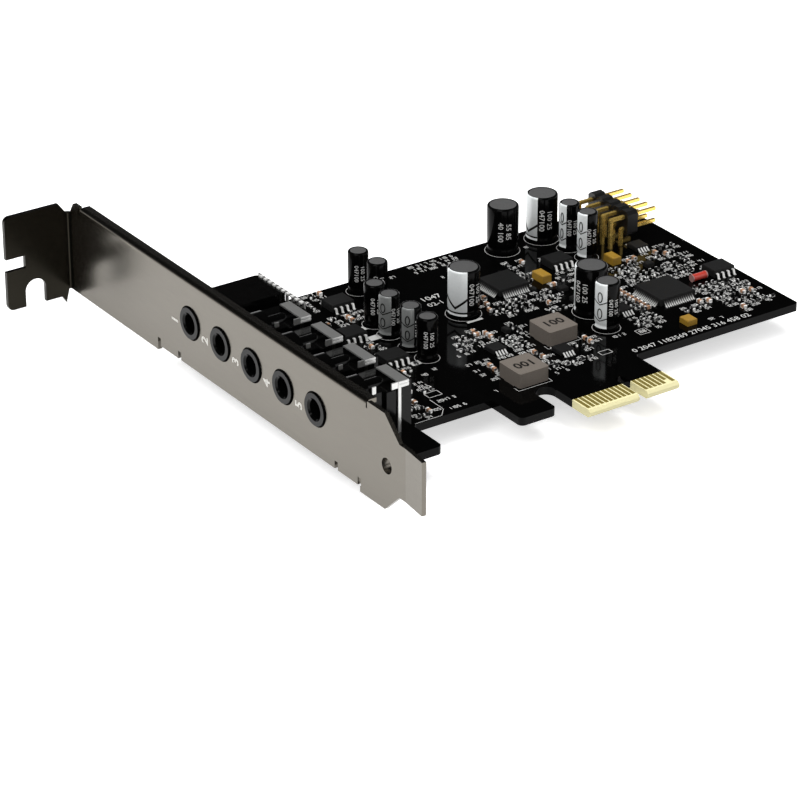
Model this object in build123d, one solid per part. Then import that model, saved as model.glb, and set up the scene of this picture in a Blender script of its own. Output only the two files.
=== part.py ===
# PCI Express x1 sound card with a full-height bracket, in millimetres.
# +Z is the component side, +X runs away from the bracket, +Y runs up the bracket to its screw tab.
# The origin is the middle of the key notch, on the fingertips' edge and the component face.
import os

from build123d import *

os.makedirs("parts", exist_ok=True)

# Circuit board
BOARD_T = 1.57
BOARD_RIGHT = 47.2
BOARD_TOP = 68.9
BOARD_LOW = 13.2
CORNER_R = 0.8
BOARD_GAP = 0.35

# Edge connector tongue, measured from the middle of the key notch
KEY_W = 1.9
KEY_TOP = 7.85
LONG_TONGUE_END = -12.15
SHORT_TONGUE_END = 8.15
TIP_BEVEL = 0.5
SLOT_W = 4.05
SLOT_TOP = 12.4
TAB_W = 7.9
TAB_BOTTOM = 4.4
TAB_R = 1.0
FOOT_RIGHT = -41.3
FOOT_BOTTOM = 4.0

# Gold fingers
FINGER_PITCH = 1.0
FINGER_W = 0.7
FINGER_T = 0.04
FINGER_FRONT = 1.0
FINGER_BACK = 5.2
SHORT_FINGER_FRONT = 2.2
LONG_ROW_FIRST = -11.5
LONG_ROW_COUNT = 11
SHORT_ROW_FIRST = 1.5
SHORT_ROW_COUNT = 7
SHORT_FINGER_INDEX = 5

# Bracket sheet
SHEET_T = 0.86
FACE_X = -59.05
BRACKET_LEN = 120.02
BRACKET_W = 18.42
BRACKET_TIP = -16.0
BRACKET_LOW = -3.5
TONGUE_W = 10.19
TONGUE_LEN = 7.6
SHOULDER_LEN = 4.4
TONGUE_R = 2.0
TONGUE_BEND_Y = -10.3
TONGUE_BEND = 6.0
STEP_Y = 3.6
BEND_OUT_R = 1.2
BEND_IN_R = 0.34

# Top flange of the bracket
FLANGE_DEPTH = 2.2
FLANGE_START = 1.7
FLANGE_END = 98.6
FLANGE_NOTCH_W = 0.4
FLANGE_NOTCH_H = 1.3
FLANGE_SLOT_W = 0.5
FLANGE_SLOT_H = 1.7
NUB_W = 2.1
NUB_SLOPE = 1.5

# Ears folded under the board
EAR_W = 6.2
EAR_DEPTH = 8.6
EAR_GAP_LOW = 2.6
EAR_GAP_HIGH = 0.2
EAR_RELIEF_W = 1.0
EAR_RELIEF_H = 0.7
SCREW_D = 3.0
SCREW_HOLE_D = 3.3
SCREW_HEAD_D = 5.5
SCREW_HEAD_H = 1.9
SCREW_HEAD_CHAMFER = 0.7
SCREW_FROM_FACE = 5.0
DRIVE_D = 2.2
DRIVE_SIDES = 6
DRIVE_DEPTH = 1.0

# Tab that takes the case screw
SCREW_TAB_DEPTH = 13.8
SCREW_TAB_W = 19.4
SCREW_TAB_LOW = -4.8
SCREW_TAB_R = 1.2
CASE_SLOT_W = 4.4
CASE_SLOT_FROM_FACE = 7.7
CASE_SLOT_TOP = 0.5
CASE_NOTCH_W = 2.6
CASE_NOTCH_Z = 4.6
CASE_NOTCH_IN = 9.7
TAB_SLANT_X = 2.0
TAB_SLANT_Z = 2.5
TAB_TOOTH_X = 1.1
TAB_TOOTH_Z = 1.4
TAB_FLAT = 0.4

# Extruded hole near the bracket's lower end
TAP_D = 3.0
TAP_OUTER_D = 4.4
TAP_COLLAR = 1.6
TAP_Y = -4.6
TAP_Z = 5.1

# Jacks
JACK_COUNT = 5
JACK_PITCH = 10.4
JACK_LOW_Y = 17.4
JACK_AXIS_Z = 6.6
JACK_HOLE_D = 6.7
NOSE_D = 6.1
NOSE_OUT = 0.35
PLUG_D = 3.6
PLUG_DEPTH = 14.5
JACK_W = 9.3
JACK_REAR = -42.0
JACK_TOP = 9.7
JACK_STEP = 8.3
JACK_WAIST = -49.8
JACK_REAR_BLOCK = -47.2
JACK_INSET = 0.8
BARREL_D = 7.9
SPRING_COVER_D = 3.2
SPRING_COVER_Z = 7.6
MOUTH_CHAMFER = 0.35

# Taller housing of the first jack, which also takes an optical lead
COMBO_TOP = 9.9
COMBO_REAR = -41.4
COMBO_W = 9.4

# Jack terminals
PLATE_X = -43.9
PLATE_W = 2.2
PLATE_T = 0.3
PLATE_IN = 2.0
LEG_GAP = 0.1
LEG_W = 0.6
FOLD_H = 0.9
FOLD_REACH = 1.4
FRONT_CONTACT_X = -49.3
FRONT_CONTACT_W = 0.8
FRONT_CONTACT_T = 0.3

# Comb of contact legs behind the first two jacks
COMB_PITCH = 1.87
COMB_COUNT = 9
COMB_TOOTH = 0.7
COMB_T = 0.3
COMB_RAIL = 0.6
COMB_TOP = 10.2
COMB_GAP = 0.1

# Capacitors: name, x, y, diameter, height
SMALL_D = 4.0
MID_D = 4.7
LARGE_D = 6.2
LOW_H = 8.6
TALL_H = 9.8
CAPACITORS = [
    ("capacitor_01", -18.4, 64.6, SMALL_D, LOW_H),
    ("capacitor_02", -18.1, 58.6, SMALL_D, LOW_H),
    ("capacitor_03", -23.9, 51.0, SMALL_D, LOW_H),
    ("capacitor_04", -24.2, 45.7, SMALL_D, LOW_H),
    ("capacitor_05", -23.8, 39.3, SMALL_D, LOW_H),
    ("capacitor_06", -23.9, 33.8, SMALL_D, LOW_H),
    ("capacitor_07", -7.6, 45.3, LARGE_D, TALL_H),
    ("capacitor_08", 15.1, 64.2, LARGE_D, TALL_H),
    ("capacitor_09", 24.6, 64.3, LARGE_D, TALL_H),
    ("capacitor_10", 26.3, 57.7, SMALL_D, TALL_H),
    ("capacitor_11", 26.6, 52.3, SMALL_D, TALL_H),
    ("capacitor_12", 12.5, 32.5, LARGE_D, TALL_H),
    ("capacitor_13", 10.8, 25.3, MID_D, TALL_H),
]
CAN_RIM = 0.3
CAN_FOOT = 0.45

# Integrated circuits
CHIP_STANDOFF = 0.1
LEAD_T = 0.15
CODEC_X = 5.5
CODEC_Y = 50.5
CODEC_SIZE = 7.0
CODEC_LEAD_COUNT = 12
CONTROLLER_X = 28.7
CONTROLLER_Y = 30.6
CONTROLLER_SIZE = 8.2
CONTROLLER_LEAD_COUNT = 14
QFP_PITCH = 0.5
QFP_LEAD_W = 0.22
QFP_REACH = 1.0
QFP_H = 1.4
LEAD_KNEE_SHARE = 0.45
LEAD_FOOT_SHARE = 0.6
SO_LENGTH = 4.9
SO_WIDTH = 3.9
SO_H = 1.5
SO_PITCH = 1.27
SO_LEAD_COUNT = 4
SO_LEAD_W = 0.42
SO_REACH = 1.05
SO_CHIPS = [
    ("amplifier_1", -25.4, 61.1),
    ("amplifier_2", -30.9, 48.6),
    ("amplifier_3", -29.9, 36.4),
    ("amplifier_4", 19.9, 53.0),
    ("memory_chip", 43.3, 32.6),
]
SMALL_SIZE = 3.0
SMALL_H = 0.85
SMALL_PITCH = 0.65
SMALL_LEAD_COUNT = 4
SMALL_LEAD_W = 0.3
SMALL_REACH = 0.95
SMALL_CHIPS = [
    ("regulator_1", 37.4, 50.1),
    ("regulator_2", 17.5, 29.2),
    ("regulator_3", -11.8, 29.2),
    ("regulator_4", -1.9, 21.8),
]

# Power inductors
INDUCTORS = [("inductor_1", 0.3, 27.7), ("inductor_2", -14.3, 17.0)]
INDUCTOR_SIZE = 6.6
INDUCTOR_H = 3.0
INDUCTOR_R = 0.5
INDUCTOR_STANDOFF = 0.15
INDUCTOR_PAD_W = 3.0

# Right-angle pin header
PIN_PITCH = 2.54
PIN_COLUMN_COUNT = 5
PIN_SIZE = 0.64
PIN_FIRST_Y = 52.9
PIN_LOW_Z = 3.4
PIN_TIP_X = 43.6
HEADER_X = 37.2
HEADER_T = 2.5
HEADER_CHAMFER = 0.6
OUTER_LEG_X = 32.8
PIN_HOLE_D = 1.0
PIN_BELOW = 1.4

# Small blocks: name, x, y, length along x, width along y, height
BLOCKS = [
    ("tantalum_1", 13.3, 48.9, 2.1, 3.4, 1.6),
    ("tantalum_2", 29.3, 47.6, 2.0, 3.0, 1.6),
    ("crystal", 24.6, 18.2, 2.2, 2.5, 1.2),
    ("transistor_1", 13.8, 42.9, 1.8, 1.4, 0.9),
    ("transistor_2", 13.0, 38.0, 1.6, 1.4, 0.9),
    ("transistor_3", 34.0, 42.3, 1.8, 1.4, 0.9),
    ("transistor_4", -5.6, 34.4, 1.2, 1.6, 0.9),
]
BLOCK_CHAMFER = 0.15

# Red glass diode
DIODE_X = 38.0
DIODE_Y = 31.9
DIODE_D = 1.4
DIODE_LEN = 3.5
DIODE_CAP = 0.55
DIODE_CAP_D = 1.5

# Chip resistors and capacitors: rows of parts, first x, first y, step x, step y, count, lying across
CHIP_LEN = 1.0
CHIP_W = 0.5
CHIP_H = 0.35
RESISTOR_ROWS = [
    (-29.6, 64.6, -0.2, -1.8, 2, True),
    (-29.4, 56.6, 0.3, -1.9, 3, False),
    (-24.8, 57.0, 0.2, -1.3, 2, True),
    (-27.2, 67.9, -0.1, -1.2, 2, False),
    (-31.4, 43.0, 2.7, -0.3, 2, True),
    (-29.6, 31.2, 2.6, 1.7, 2, True),
    (-37.9, 18.0, 1.5, -0.2, 2, False),
    (-38.7, 15.2, 1.6, 0.0, 2, False),
    (-32.4, 22.8, 1.8, 0.0, 2, True),
    (-15.0, 36.6, 1.4, 0.0, 2, True),
    (-16.4, 34.4, 1.4, 0.0, 4, False),
    (-17.0, 32.2, 1.4, 0.0, 2, False),
    (-8.2, 32.4, 1.5, -0.2, 2, True),
    (-8.2, 30.2, 1.4, 0.0, 3, False),
    (-8.2, 28.2, 1.4, 0.0, 3, True),
    (-3.4, 36.2, 0.0, -1.5, 3, False),
    (-8.6, 24.4, 0.0, -1.9, 4, True),
    (-6.6, 19.2, 0.0, -1.6, 2, False),
    (-4.2, 17.2, 1.7, 0.0, 4, False),
    (1.4, 22.4, 1.3, -1.3, 2, True),
    (-2.2, 42.6, 1.5, 0.0, 6, True),
    (0.2, 44.4, 1.4, 0.0, 5, False),
    (-0.6, 40.6, 1.8, 0.0, 4, True),
    (11.6, 54.8, 0.0, 1.5, 3, True),
    (11.2, 52.4, 0.0, -1.3, 3, False),
    (8.2, 43.8, 1.5, 0.0, 3, True),
    (8.0, 41.6, 1.5, 0.0, 4, False),
    (6.6, 36.6, 1.5, 0.0, 3, True),
    (6.0, 34.4, 0.0, -1.7, 3, False),
    (16.4, 46.6, 1.5, 0.0, 4, True),
    (16.6, 41.6, 1.4, 0.0, 4, False),
    (16.8, 38.8, 1.6, 0.0, 4, True),
    (20.6, 34.4, 0.0, -1.5, 6, False),
    (26.6, 44.4, 1.5, 0.0, 5, True),
    (36.4, 44.4, 1.5, 0.0, 2, False),
    (26.4, 42.2, 1.6, 0.0, 4, False),
    (27.0, 40.2, 1.5, 0.0, 9, True),
    (26.2, 38.0, 1.6, 0.0, 6, False),
    (36.8, 37.8, 1.5, 0.0, 3, True),
    (35.0, 36.0, 1.5, 0.0, 4, False),
    (35.2, 29.4, 1.5, 0.0, 4, True),
    (35.2, 27.4, 1.4, 0.0, 7, False),
    (35.6, 25.2, 1.5, 0.0, 7, True),
    (36.0, 23.2, 1.6, 0.0, 3, False),
    (35.6, 20.8, 1.5, 0.0, 6, True),
    (38.6, 18.4, 1.6, 0.0, 5, False),
    (40.6, 47.4, 1.6, 0.0, 3, True),
    (41.6, 44.8, 0.0, -1.6, 4, False),
    (17.2, 24.4, 1.4, 0.0, 4, True),
    (16.6, 22.4, 1.4, 0.0, 4, False),
    (27.6, 22.4, 1.4, 0.0, 4, True),
]
CERAMIC_ROWS = [
    (-25.4, 67.4, 0.0, 0.0, 1, True),
    (-26.6, 55.8, 0.0, -1.5, 2, True),
    (-31.6, 55.0, 0.0, 0.0, 1, True),
    (-30.0, 43.0, 0.0, 0.0, 1, True),
    (-31.2, 31.0, 0.0, 0.0, 1, True),
    (-34.6, 24.2, -1.7, -4.2, 2, True),
    (-36.0, 15.9, 0.0, 0.0, 1, True),
    (-11.0, 37.6, 0.0, -1.4, 2, False),
    (-9.4, 35.6, 0.0, -1.6, 2, True),
    (-16.5, 24.5, -0.3, -1.9, 2, True),
    (-6.6, 24.2, 2.0, 0.2, 1, True),
    (-6.4, 21.9, 0.0, 0.0, 1, True),
    (4.6, 23.6, 0.0, -1.6, 2, True),
    (-0.8, 48.2, -1.1, -2.4, 3, True),
    (14.6, 57.2, 0.0, 0.0, 1, True),
    (13.6, 45.6, 0.0, 0.0, 1, False),
    (8.2, 39.6, 0.0, 0.0, 1, True),
    (22.2, 37.4, 0.0, -1.25, 9, False),
    (31.8, 45.8, 1.8, 0.6, 2, True),
    (38.6, 46.2, 1.4, -1.6, 2, True),
    (31.9, 23.9, 1.7, -0.6, 2, True),
    (37.4, 17.6, 0.0, 0.0, 1, True),
    (41.4, 22.8, 1.9, -0.2, 2, True),
]
CERAMIC_LEN = 1.25
CERAMIC_W = 0.65
CERAMIC_H = 0.6

# Solder joints under the board
JOINT_D = 1.8
JOINT_TAPER = 0.45
JOINT_H = 0.9
JOINT_SIDES = 8
CAN_LEAD_SHARE = 0.2
JACK_LEG_INSET = 3.4

BOARD_LEFT = FACE_X + SHEET_T + BOARD_GAP
BACK_X = FACE_X + SHEET_T
EAR_Z = -BOARD_T - SHEET_T
BRACKET_TOP = BRACKET_LOW + BRACKET_W
BRACKET_END = BRACKET_TIP + BRACKET_LEN
BRACKET_MID = BRACKET_LOW + BRACKET_W / 2
SCREW_X = BACK_X + SCREW_FROM_FACE
EAR_LOW_Y = JACK_LOW_Y - JACK_W / 2 - SCREW_HEAD_D / 2 - EAR_GAP_LOW
EAR_HIGH_Y = JACK_LOW_Y + (JACK_COUNT - 1) * JACK_PITCH - JACK_W / 2 + COMBO_W + SCREW_HEAD_D / 2 + EAR_GAP_HIGH
EAR_YS = [EAR_LOW_Y, EAR_HIGH_Y]
PIN_HIGH_Z = PIN_LOW_Z + PIN_PITCH
INNER_LEG_X = OUTER_LEG_X + PIN_PITCH


def span(x0, x1, y0, y1, z0, z1):
    """A block between two corners."""
    size = (x1 - x0, y1 - y0, z1 - z0)
    middle = ((x0 + x1) / 2, (y0 + y1) / 2, (z0 + z1) / 2)
    return Pos(*middle) * Box(*size)


def post(x, y, z0, z1, diameter):
    """An upright cylinder."""
    return Pos(x, y, (z0 + z1) / 2) * Cylinder(diameter / 2, z1 - z0)


def prism(x, y, z0, z1, diameter, sides):
    """An upright prism with a few flat sides."""
    return Pos(x, y, z0) * extrude(RegularPolygon(diameter / 2, sides), z1 - z0)


def rod(x0, x1, y, z, diameter):
    """A cylinder along X."""
    return Pos((x0 + x1) / 2, y, z) * Rot(0, 90, 0) * Cylinder(diameter / 2, x1 - x0)


def edges_along(shape, axis, a, b):
    """Edges along one axis that pass the point (a, b) of the other two axes."""
    pick = {Axis.X: lambda c: (c.Y, c.Z), Axis.Y: lambda c: (c.X, c.Z), Axis.Z: lambda c: (c.X, c.Y)}[axis]
    found = []
    for edge in shape.edges().filter_by(axis):
        u, v = pick(edge.center())
        if abs(u - a) < 0.02 and abs(v - b) < 0.02:
            found.append(edge)
    return found


def jack_y(index):
    """Height up the bracket of one jack, the first being the one nearest the screw tab."""
    return JACK_LOW_Y + (JACK_COUNT - 1 - index) * JACK_PITCH


def save(shape, name):
    """Write one node, each of its pieces a separate solid."""
    shape.label = name
    export_step(shape, f"parts/{name}.step")


def circuit_board():
    """The black board with its tongue, key notch, retention slot, tab and foot."""
    slot_left = LONG_TONGUE_END - SLOT_W
    tab_left = slot_left - TAB_W
    outline = Polyline(
        (BOARD_LEFT, FOOT_BOTTOM),
        (FOOT_RIGHT, FOOT_BOTTOM),
        (FOOT_RIGHT, BOARD_LOW),
        (tab_left, BOARD_LOW),
        (tab_left, TAB_BOTTOM),
        (slot_left, TAB_BOTTOM),
        (slot_left, SLOT_TOP - SLOT_W / 2),
        (LONG_TONGUE_END, SLOT_TOP - SLOT_W / 2),
        (LONG_TONGUE_END, 0),
        (SHORT_TONGUE_END, 0),
        (SHORT_TONGUE_END, BOARD_LOW),
        (BOARD_RIGHT, BOARD_LOW),
        (BOARD_RIGHT, BOARD_TOP),
        (BOARD_LEFT, BOARD_TOP),
        close=True,
    )
    board = extrude(make_face(outline), -BOARD_T)
    slot_x = (slot_left + LONG_TONGUE_END) / 2
    board -= post(slot_x, SLOT_TOP - SLOT_W / 2, -BOARD_T, 0, SLOT_W)
    key_centre = KEY_TOP - KEY_W / 2
    board -= span(-KEY_W / 2, KEY_W / 2, 0, key_centre, -BOARD_T, 0)
    board -= post(0, key_centre, -BOARD_T, 0, KEY_W)
    for x, y, r in (
        (tab_left, TAB_BOTTOM, TAB_R),
        (slot_left, TAB_BOTTOM, TAB_R),
        (FOOT_RIGHT, FOOT_BOTTOM, TAB_R),
        (BOARD_RIGHT, BOARD_LOW, CORNER_R),
        (BOARD_RIGHT, BOARD_TOP, CORNER_R),
        (FOOT_RIGHT, BOARD_LOW, CORNER_R),
        (SHORT_TONGUE_END, BOARD_LOW, CORNER_R),
    ):
        board = fillet(edges_along(board, Axis.Z, x, y), r)
    front = [e for e in board.edges().filter_by(Axis.X) if abs(e.center().Y) < 0.01]
    board = chamfer(front, TIP_BEVEL)
    for y in EAR_YS:
        board -= post(SCREW_X, y, -BOARD_T, 0, SCREW_HOLE_D)
    for column in range(PIN_COLUMN_COUNT):
        y = PIN_FIRST_Y + column * PIN_PITCH
        for x in (OUTER_LEG_X, INNER_LEG_X):
            board -= prism(x, y, -BOARD_T, 0, PIN_HOLE_D, JOINT_SIDES)
    return board


def edge_contacts():
    """Gold fingers on both faces, eleven and seven a side, one of them short."""
    fingers = []
    for first, count, short in (
        (LONG_ROW_FIRST, LONG_ROW_COUNT, None),
        (SHORT_ROW_FIRST, SHORT_ROW_COUNT, SHORT_FINGER_INDEX),
    ):
        for index in range(count):
            x = first + index * FINGER_PITCH
            front = SHORT_FINGER_FRONT if index == short else FINGER_FRONT
            for z in (0, -BOARD_T - FINGER_T):
                fingers.append(
                    span(x - FINGER_W / 2, x + FINGER_W / 2, front, FINGER_BACK, z, z + FINGER_T)
                )
    return Compound(children=fingers)


def bracket():
    """The folded full-height bracket: face, tongue, top flange, ears and screw tab."""
    shoulder = BRACKET_TIP + TONGUE_LEN
    full = shoulder + SHOULDER_LEN
    step_back = EAR_HIGH_Y + EAR_W / 2 + EAR_RELIEF_W
    nub_start = FLANGE_END + FLANGE_SLOT_W
    nub_end = nub_start + NUB_W
    nub_low = BRACKET_TOP - TAB_SLANT_Z
    with BuildSketch(Plane.YZ) as face:
        with BuildLine():
            Polyline(
                (BRACKET_TIP, BRACKET_MID - TONGUE_W / 2),
                (shoulder, BRACKET_MID - TONGUE_W / 2),
                (full, BRACKET_LOW),
                (STEP_Y, BRACKET_LOW),
                (STEP_Y, EAR_Z),
                (step_back, EAR_Z),
                (step_back, BRACKET_LOW),
                (BRACKET_END, BRACKET_LOW),
                (BRACKET_END, nub_low),
                (nub_end + NUB_SLOPE, nub_low),
                (nub_end, BRACKET_TOP),
                (nub_start, BRACKET_TOP),
                (nub_start, BRACKET_TOP - FLANGE_SLOT_H),
                (FLANGE_END, BRACKET_TOP - FLANGE_SLOT_H),
                (FLANGE_END, BRACKET_TOP),
                (full, BRACKET_TOP),
                (shoulder, BRACKET_MID + TONGUE_W / 2),
                (BRACKET_TIP, BRACKET_MID + TONGUE_W / 2),
                close=True,
            )
        make_face()
        tips = [v for v in face.vertices() if abs(v.Y - BRACKET_TIP) < 0.01]
        fillet(tips, TONGUE_R)
    sheet = Pos(FACE_X, 0, 0) * extrude(face.sketch, SHEET_T)
    tip_zone = span(FACE_X, BACK_X, BRACKET_TIP, TONGUE_BEND_Y, BRACKET_LOW, BRACKET_TOP)
    hinge = Pos(BACK_X, TONGUE_BEND_Y, 0)
    plate = sheet - tip_zone
    plate += hinge * Rot(0, 0, -TONGUE_BEND) * hinge.inverse() * (sheet & tip_zone)

    flange = span(FACE_X, FACE_X + FLANGE_DEPTH, FLANGE_START, FLANGE_END, BRACKET_TOP - SHEET_T, BRACKET_TOP)
    plate += flange
    for y in EAR_YS:
        ear = span(FACE_X, BACK_X + EAR_DEPTH, y - EAR_W / 2, y + EAR_W / 2, EAR_Z, -BOARD_T)
        plate += ear
    plate -= span(
        FACE_X, BACK_X, FLANGE_START - FLANGE_NOTCH_W, FLANGE_START, BRACKET_TOP - FLANGE_NOTCH_H, BRACKET_TOP
    )
    for y in EAR_YS:
        for side in (-1, 1):
            near = y + side * EAR_W / 2
            low, high = sorted((near, near + side * EAR_RELIEF_W))
            plate -= span(FACE_X, BACK_X, low, high, EAR_Z, -BOARD_T + EAR_RELIEF_H)

    tab_top = SCREW_TAB_LOW + SCREW_TAB_W
    tab_left = FACE_X - SCREW_TAB_DEPTH
    with BuildSketch(Plane.XZ) as tab:
        with BuildLine():
            Polyline(
                (tab_left, SCREW_TAB_LOW),
                (FACE_X - TAB_SLANT_X, SCREW_TAB_LOW),
                (FACE_X - TAB_TOOTH_X, SCREW_TAB_LOW - TAB_TOOTH_Z),
                (FACE_X - TAB_FLAT, BRACKET_LOW),
                (BACK_X, BRACKET_LOW),
                (BACK_X, nub_low),
                (FACE_X - TAB_FLAT, nub_low),
                (FACE_X - TAB_SLANT_X, tab_top),
                (tab_left, tab_top),
                close=True,
            )
        make_face()
        corners = [v for v in tab.vertices() if abs(v.X - tab_left) < 0.01]
        fillet(corners, SCREW_TAB_R)
    plate += Pos(0, BRACKET_END, 0) * extrude(tab.sketch, SHEET_T)

    plate = fillet(edges_along(plate, Axis.Z, BACK_X, BRACKET_END), BEND_OUT_R)
    plate = fillet(edges_along(plate, Axis.Z, FACE_X, BRACKET_END - SHEET_T), BEND_IN_R)
    flange_outer = [
        e
        for e in edges_along(plate, Axis.Y, FACE_X, BRACKET_TOP)
        if FLANGE_START < e.center().Y < FLANGE_END
    ]
    if flange_outer:
        plate = fillet(flange_outer, SHEET_T)

    slot_x = FACE_X - CASE_SLOT_FROM_FACE
    y0 = BRACKET_END - SHEET_T
    slot_centre = CASE_SLOT_TOP - CASE_SLOT_W / 2
    plate -= span(
        slot_x - CASE_SLOT_W / 2, slot_x + CASE_SLOT_W / 2, y0, BRACKET_END, SCREW_TAB_LOW, slot_centre
    )
    plate -= Pos(slot_x, (y0 + BRACKET_END) / 2, slot_centre) * Rot(90, 0, 0) * Cylinder(
        CASE_SLOT_W / 2, SHEET_T
    )
    notch_end = FACE_X - CASE_NOTCH_IN
    plate -= span(
        tab_left, notch_end, y0, BRACKET_END, CASE_NOTCH_Z - CASE_NOTCH_W / 2, CASE_NOTCH_Z + CASE_NOTCH_W / 2
    )

    for index in range(JACK_COUNT):
        plate -= rod(FACE_X, BACK_X, jack_y(index), JACK_AXIS_Z, JACK_HOLE_D)
    plate += rod(BACK_X, BACK_X + TAP_COLLAR, TAP_Y, TAP_Z, TAP_OUTER_D)
    plate -= rod(FACE_X, BACK_X + TAP_COLLAR, TAP_Y, TAP_Z, TAP_D)
    for y in EAR_YS:
        plate -= post(SCREW_X, y, EAR_Z, -BOARD_T, SCREW_D)
    return plate


def bracket_screws():
    """Two pan-head screws through the board into the bracket's ears."""
    screws = []
    for y in EAR_YS:
        head = post(SCREW_X, y, 0, SCREW_HEAD_H, SCREW_HEAD_D)
        head = chamfer(head.edges().filter_by(GeomType.CIRCLE).sort_by(Axis.Z)[-1], SCREW_HEAD_CHAMFER)
        head -= prism(SCREW_X, y, SCREW_HEAD_H - DRIVE_DEPTH, SCREW_HEAD_H, DRIVE_D, DRIVE_SIDES)
        screws.append(head + post(SCREW_X, y, EAR_Z, 0, SCREW_D))
    return Compound(children=screws)


def jack_housing(index):
    """One moulded 3.5 mm jack: barrel, waist, rear block and a nose through the bracket."""
    y = jack_y(index)
    z = JACK_AXIS_Z
    half = JACK_W / 2
    if index == 0:
        body = span(BACK_X, COMBO_REAR, y - half, y - half + COMBO_W, 0, COMBO_TOP)
        body = fillet(edges_along(body, Axis.Z, COMBO_REAR, y - half + COMBO_W), CORNER_R)
    else:
        body = span(BACK_X, JACK_WAIST, y - half, y + half, 0, z)
        body += rod(BACK_X, JACK_WAIST, y, z, BARREL_D) & span(
            BACK_X, JACK_WAIST, y - half, y + half, 0, z + BARREL_D
        )
        inner = half - JACK_INSET
        body += span(JACK_WAIST, JACK_REAR_BLOCK, y - inner, y + inner, 0, JACK_STEP)
        body += span(JACK_REAR_BLOCK, JACK_REAR, y - half, y + half, 0, JACK_STEP)
        body += rod(JACK_WAIST, JACK_REAR, y, SPRING_COVER_Z, SPRING_COVER_D)
        body += span(PLATE_X - PLATE_W / 2, JACK_REAR, y - half, y + PLATE_IN, 0, JACK_TOP)
    body += rod(FACE_X - NOSE_OUT, BACK_X, y, z, NOSE_D)
    body -= rod(FACE_X - NOSE_OUT, FACE_X - NOSE_OUT + PLUG_DEPTH, y, z, PLUG_D)
    front = body.faces().sort_by(Axis.X)[0]
    mouth = front.edges().sort_by(SortBy.LENGTH)[0]
    return chamfer(mouth, MOUTH_CHAMFER)


def jack_terminal(index):
    """The sheet-metal plate on a jack's rear top with its thin leg, and the end of the front contact."""
    y = jack_y(index)
    top = JACK_TOP
    side = y - JACK_W / 2 - LEG_GAP
    x0 = PLATE_X - PLATE_W / 2
    x1 = PLATE_X + PLATE_W / 2
    plate = span(x0, x1, side - PLATE_T, y + PLATE_IN, top, top + PLATE_T)
    plate += span(x0 - FOLD_REACH, x1, side - PLATE_T, side, top - FOLD_H, top + PLATE_T)
    plate += span(x0, x0 + LEG_W, side - PLATE_T, side, 0, top)
    contact_y = y - JACK_W / 2 + JACK_INSET
    contact = span(
        FRONT_CONTACT_X - FRONT_CONTACT_W / 2,
        FRONT_CONTACT_X + FRONT_CONTACT_W / 2,
        contact_y,
        contact_y + FRONT_CONTACT_T,
        JACK_STEP,
        JACK_TOP,
    )
    return Compound(children=[plate, contact])


def jack_comb():
    """A stamped comb of contact legs behind the first two jacks."""
    y1 = jack_y(0) - JACK_W / 2 + COMBO_W
    x0 = COMBO_REAR + COMB_GAP
    y0 = y1 - (COMB_COUNT - 1) * COMB_PITCH - COMB_TOOTH
    comb = span(x0, x0 + COMB_T, y0, y1, COMB_TOP - COMB_RAIL, COMB_TOP)
    for index in range(COMB_COUNT):
        y = y1 - index * COMB_PITCH
        comb += span(x0, x0 + COMB_T, y - COMB_TOOTH, y, 0, COMB_TOP)
    return comb


def capacitor(x, y, diameter, height):
    """A radial electrolytic can with a rounded rim and the foot drawn in over its bung."""
    can = post(x, y, 0, height, diameter)
    rims = can.edges().filter_by(GeomType.CIRCLE).sort_by(Axis.Z)
    can = chamfer(rims[-1], CAN_RIM)
    foot = can.edges().filter_by(GeomType.CIRCLE).sort_by(Axis.Z)[0]
    return chamfer(foot, CAN_FOOT)


def gull_lead(reach, height, width):
    """One bent lead that leaves a body at X = 0, steps down and lies on its pad."""
    knee = reach * LEAD_KNEE_SHARE
    foot = reach * LEAD_FOOT_SHARE
    profile = Polyline(
        (0, height + LEAD_T),
        (knee, height + LEAD_T),
        (foot + LEAD_T, LEAD_T),
        (reach, LEAD_T),
        (reach, 0),
        (foot, 0),
        (knee - LEAD_T, height),
        (0, height),
        close=True,
    )
    return extrude(Plane.XZ * make_face(profile), width / 2, both=True)


def fine_lead(reach, height, width):
    """One thin lead that slopes from a body at X = 0 straight down to its pad."""
    foot = reach * LEAD_FOOT_SHARE
    profile = Polyline(
        (0, height + LEAD_T), (foot + LEAD_T, LEAD_T), (reach, LEAD_T), (reach, 0), (foot, 0), (0, height), close=True
    )
    return extrude(Plane.XZ * make_face(profile), width / 2, both=True)


def qfp_leads(x, y, size, count):
    """Leads on the four sides of a square chip."""
    leads = []
    lead = fine_lead(QFP_REACH, CHIP_STANDOFF + QFP_H / 2, QFP_LEAD_W)
    for turn in range(4):
        for index in range(count):
            offset = (index - (count - 1) / 2) * QFP_PITCH
            leads.append(Pos(x, y, 0) * Rot(0, 0, 90 * turn) * Pos(size / 2, offset, 0) * lead)
    return Compound(children=leads)


def two_row_leads(chips, lead, width, count, pitch):
    """Leads of a set of equal chips, in one row along each of two sides."""
    leads = []
    for _, x, y in chips:
        for turn in (90, 270):
            for index in range(count):
                offset = (index - (count - 1) / 2) * pitch
                leads.append(Pos(x, y, 0) * Rot(0, 0, turn) * Pos(width / 2, offset, 0) * lead)
    return Compound(children=leads)


def chip_body(x, y, length, width, height):
    """A moulded chip body with a bevelled top edge."""
    body = span(
        x - length / 2, x + length / 2, y - width / 2, y + width / 2, CHIP_STANDOFF, CHIP_STANDOFF + height
    )
    return chamfer(body.faces().sort_by(Axis.Z)[-1].edges(), CHIP_STANDOFF)


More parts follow.
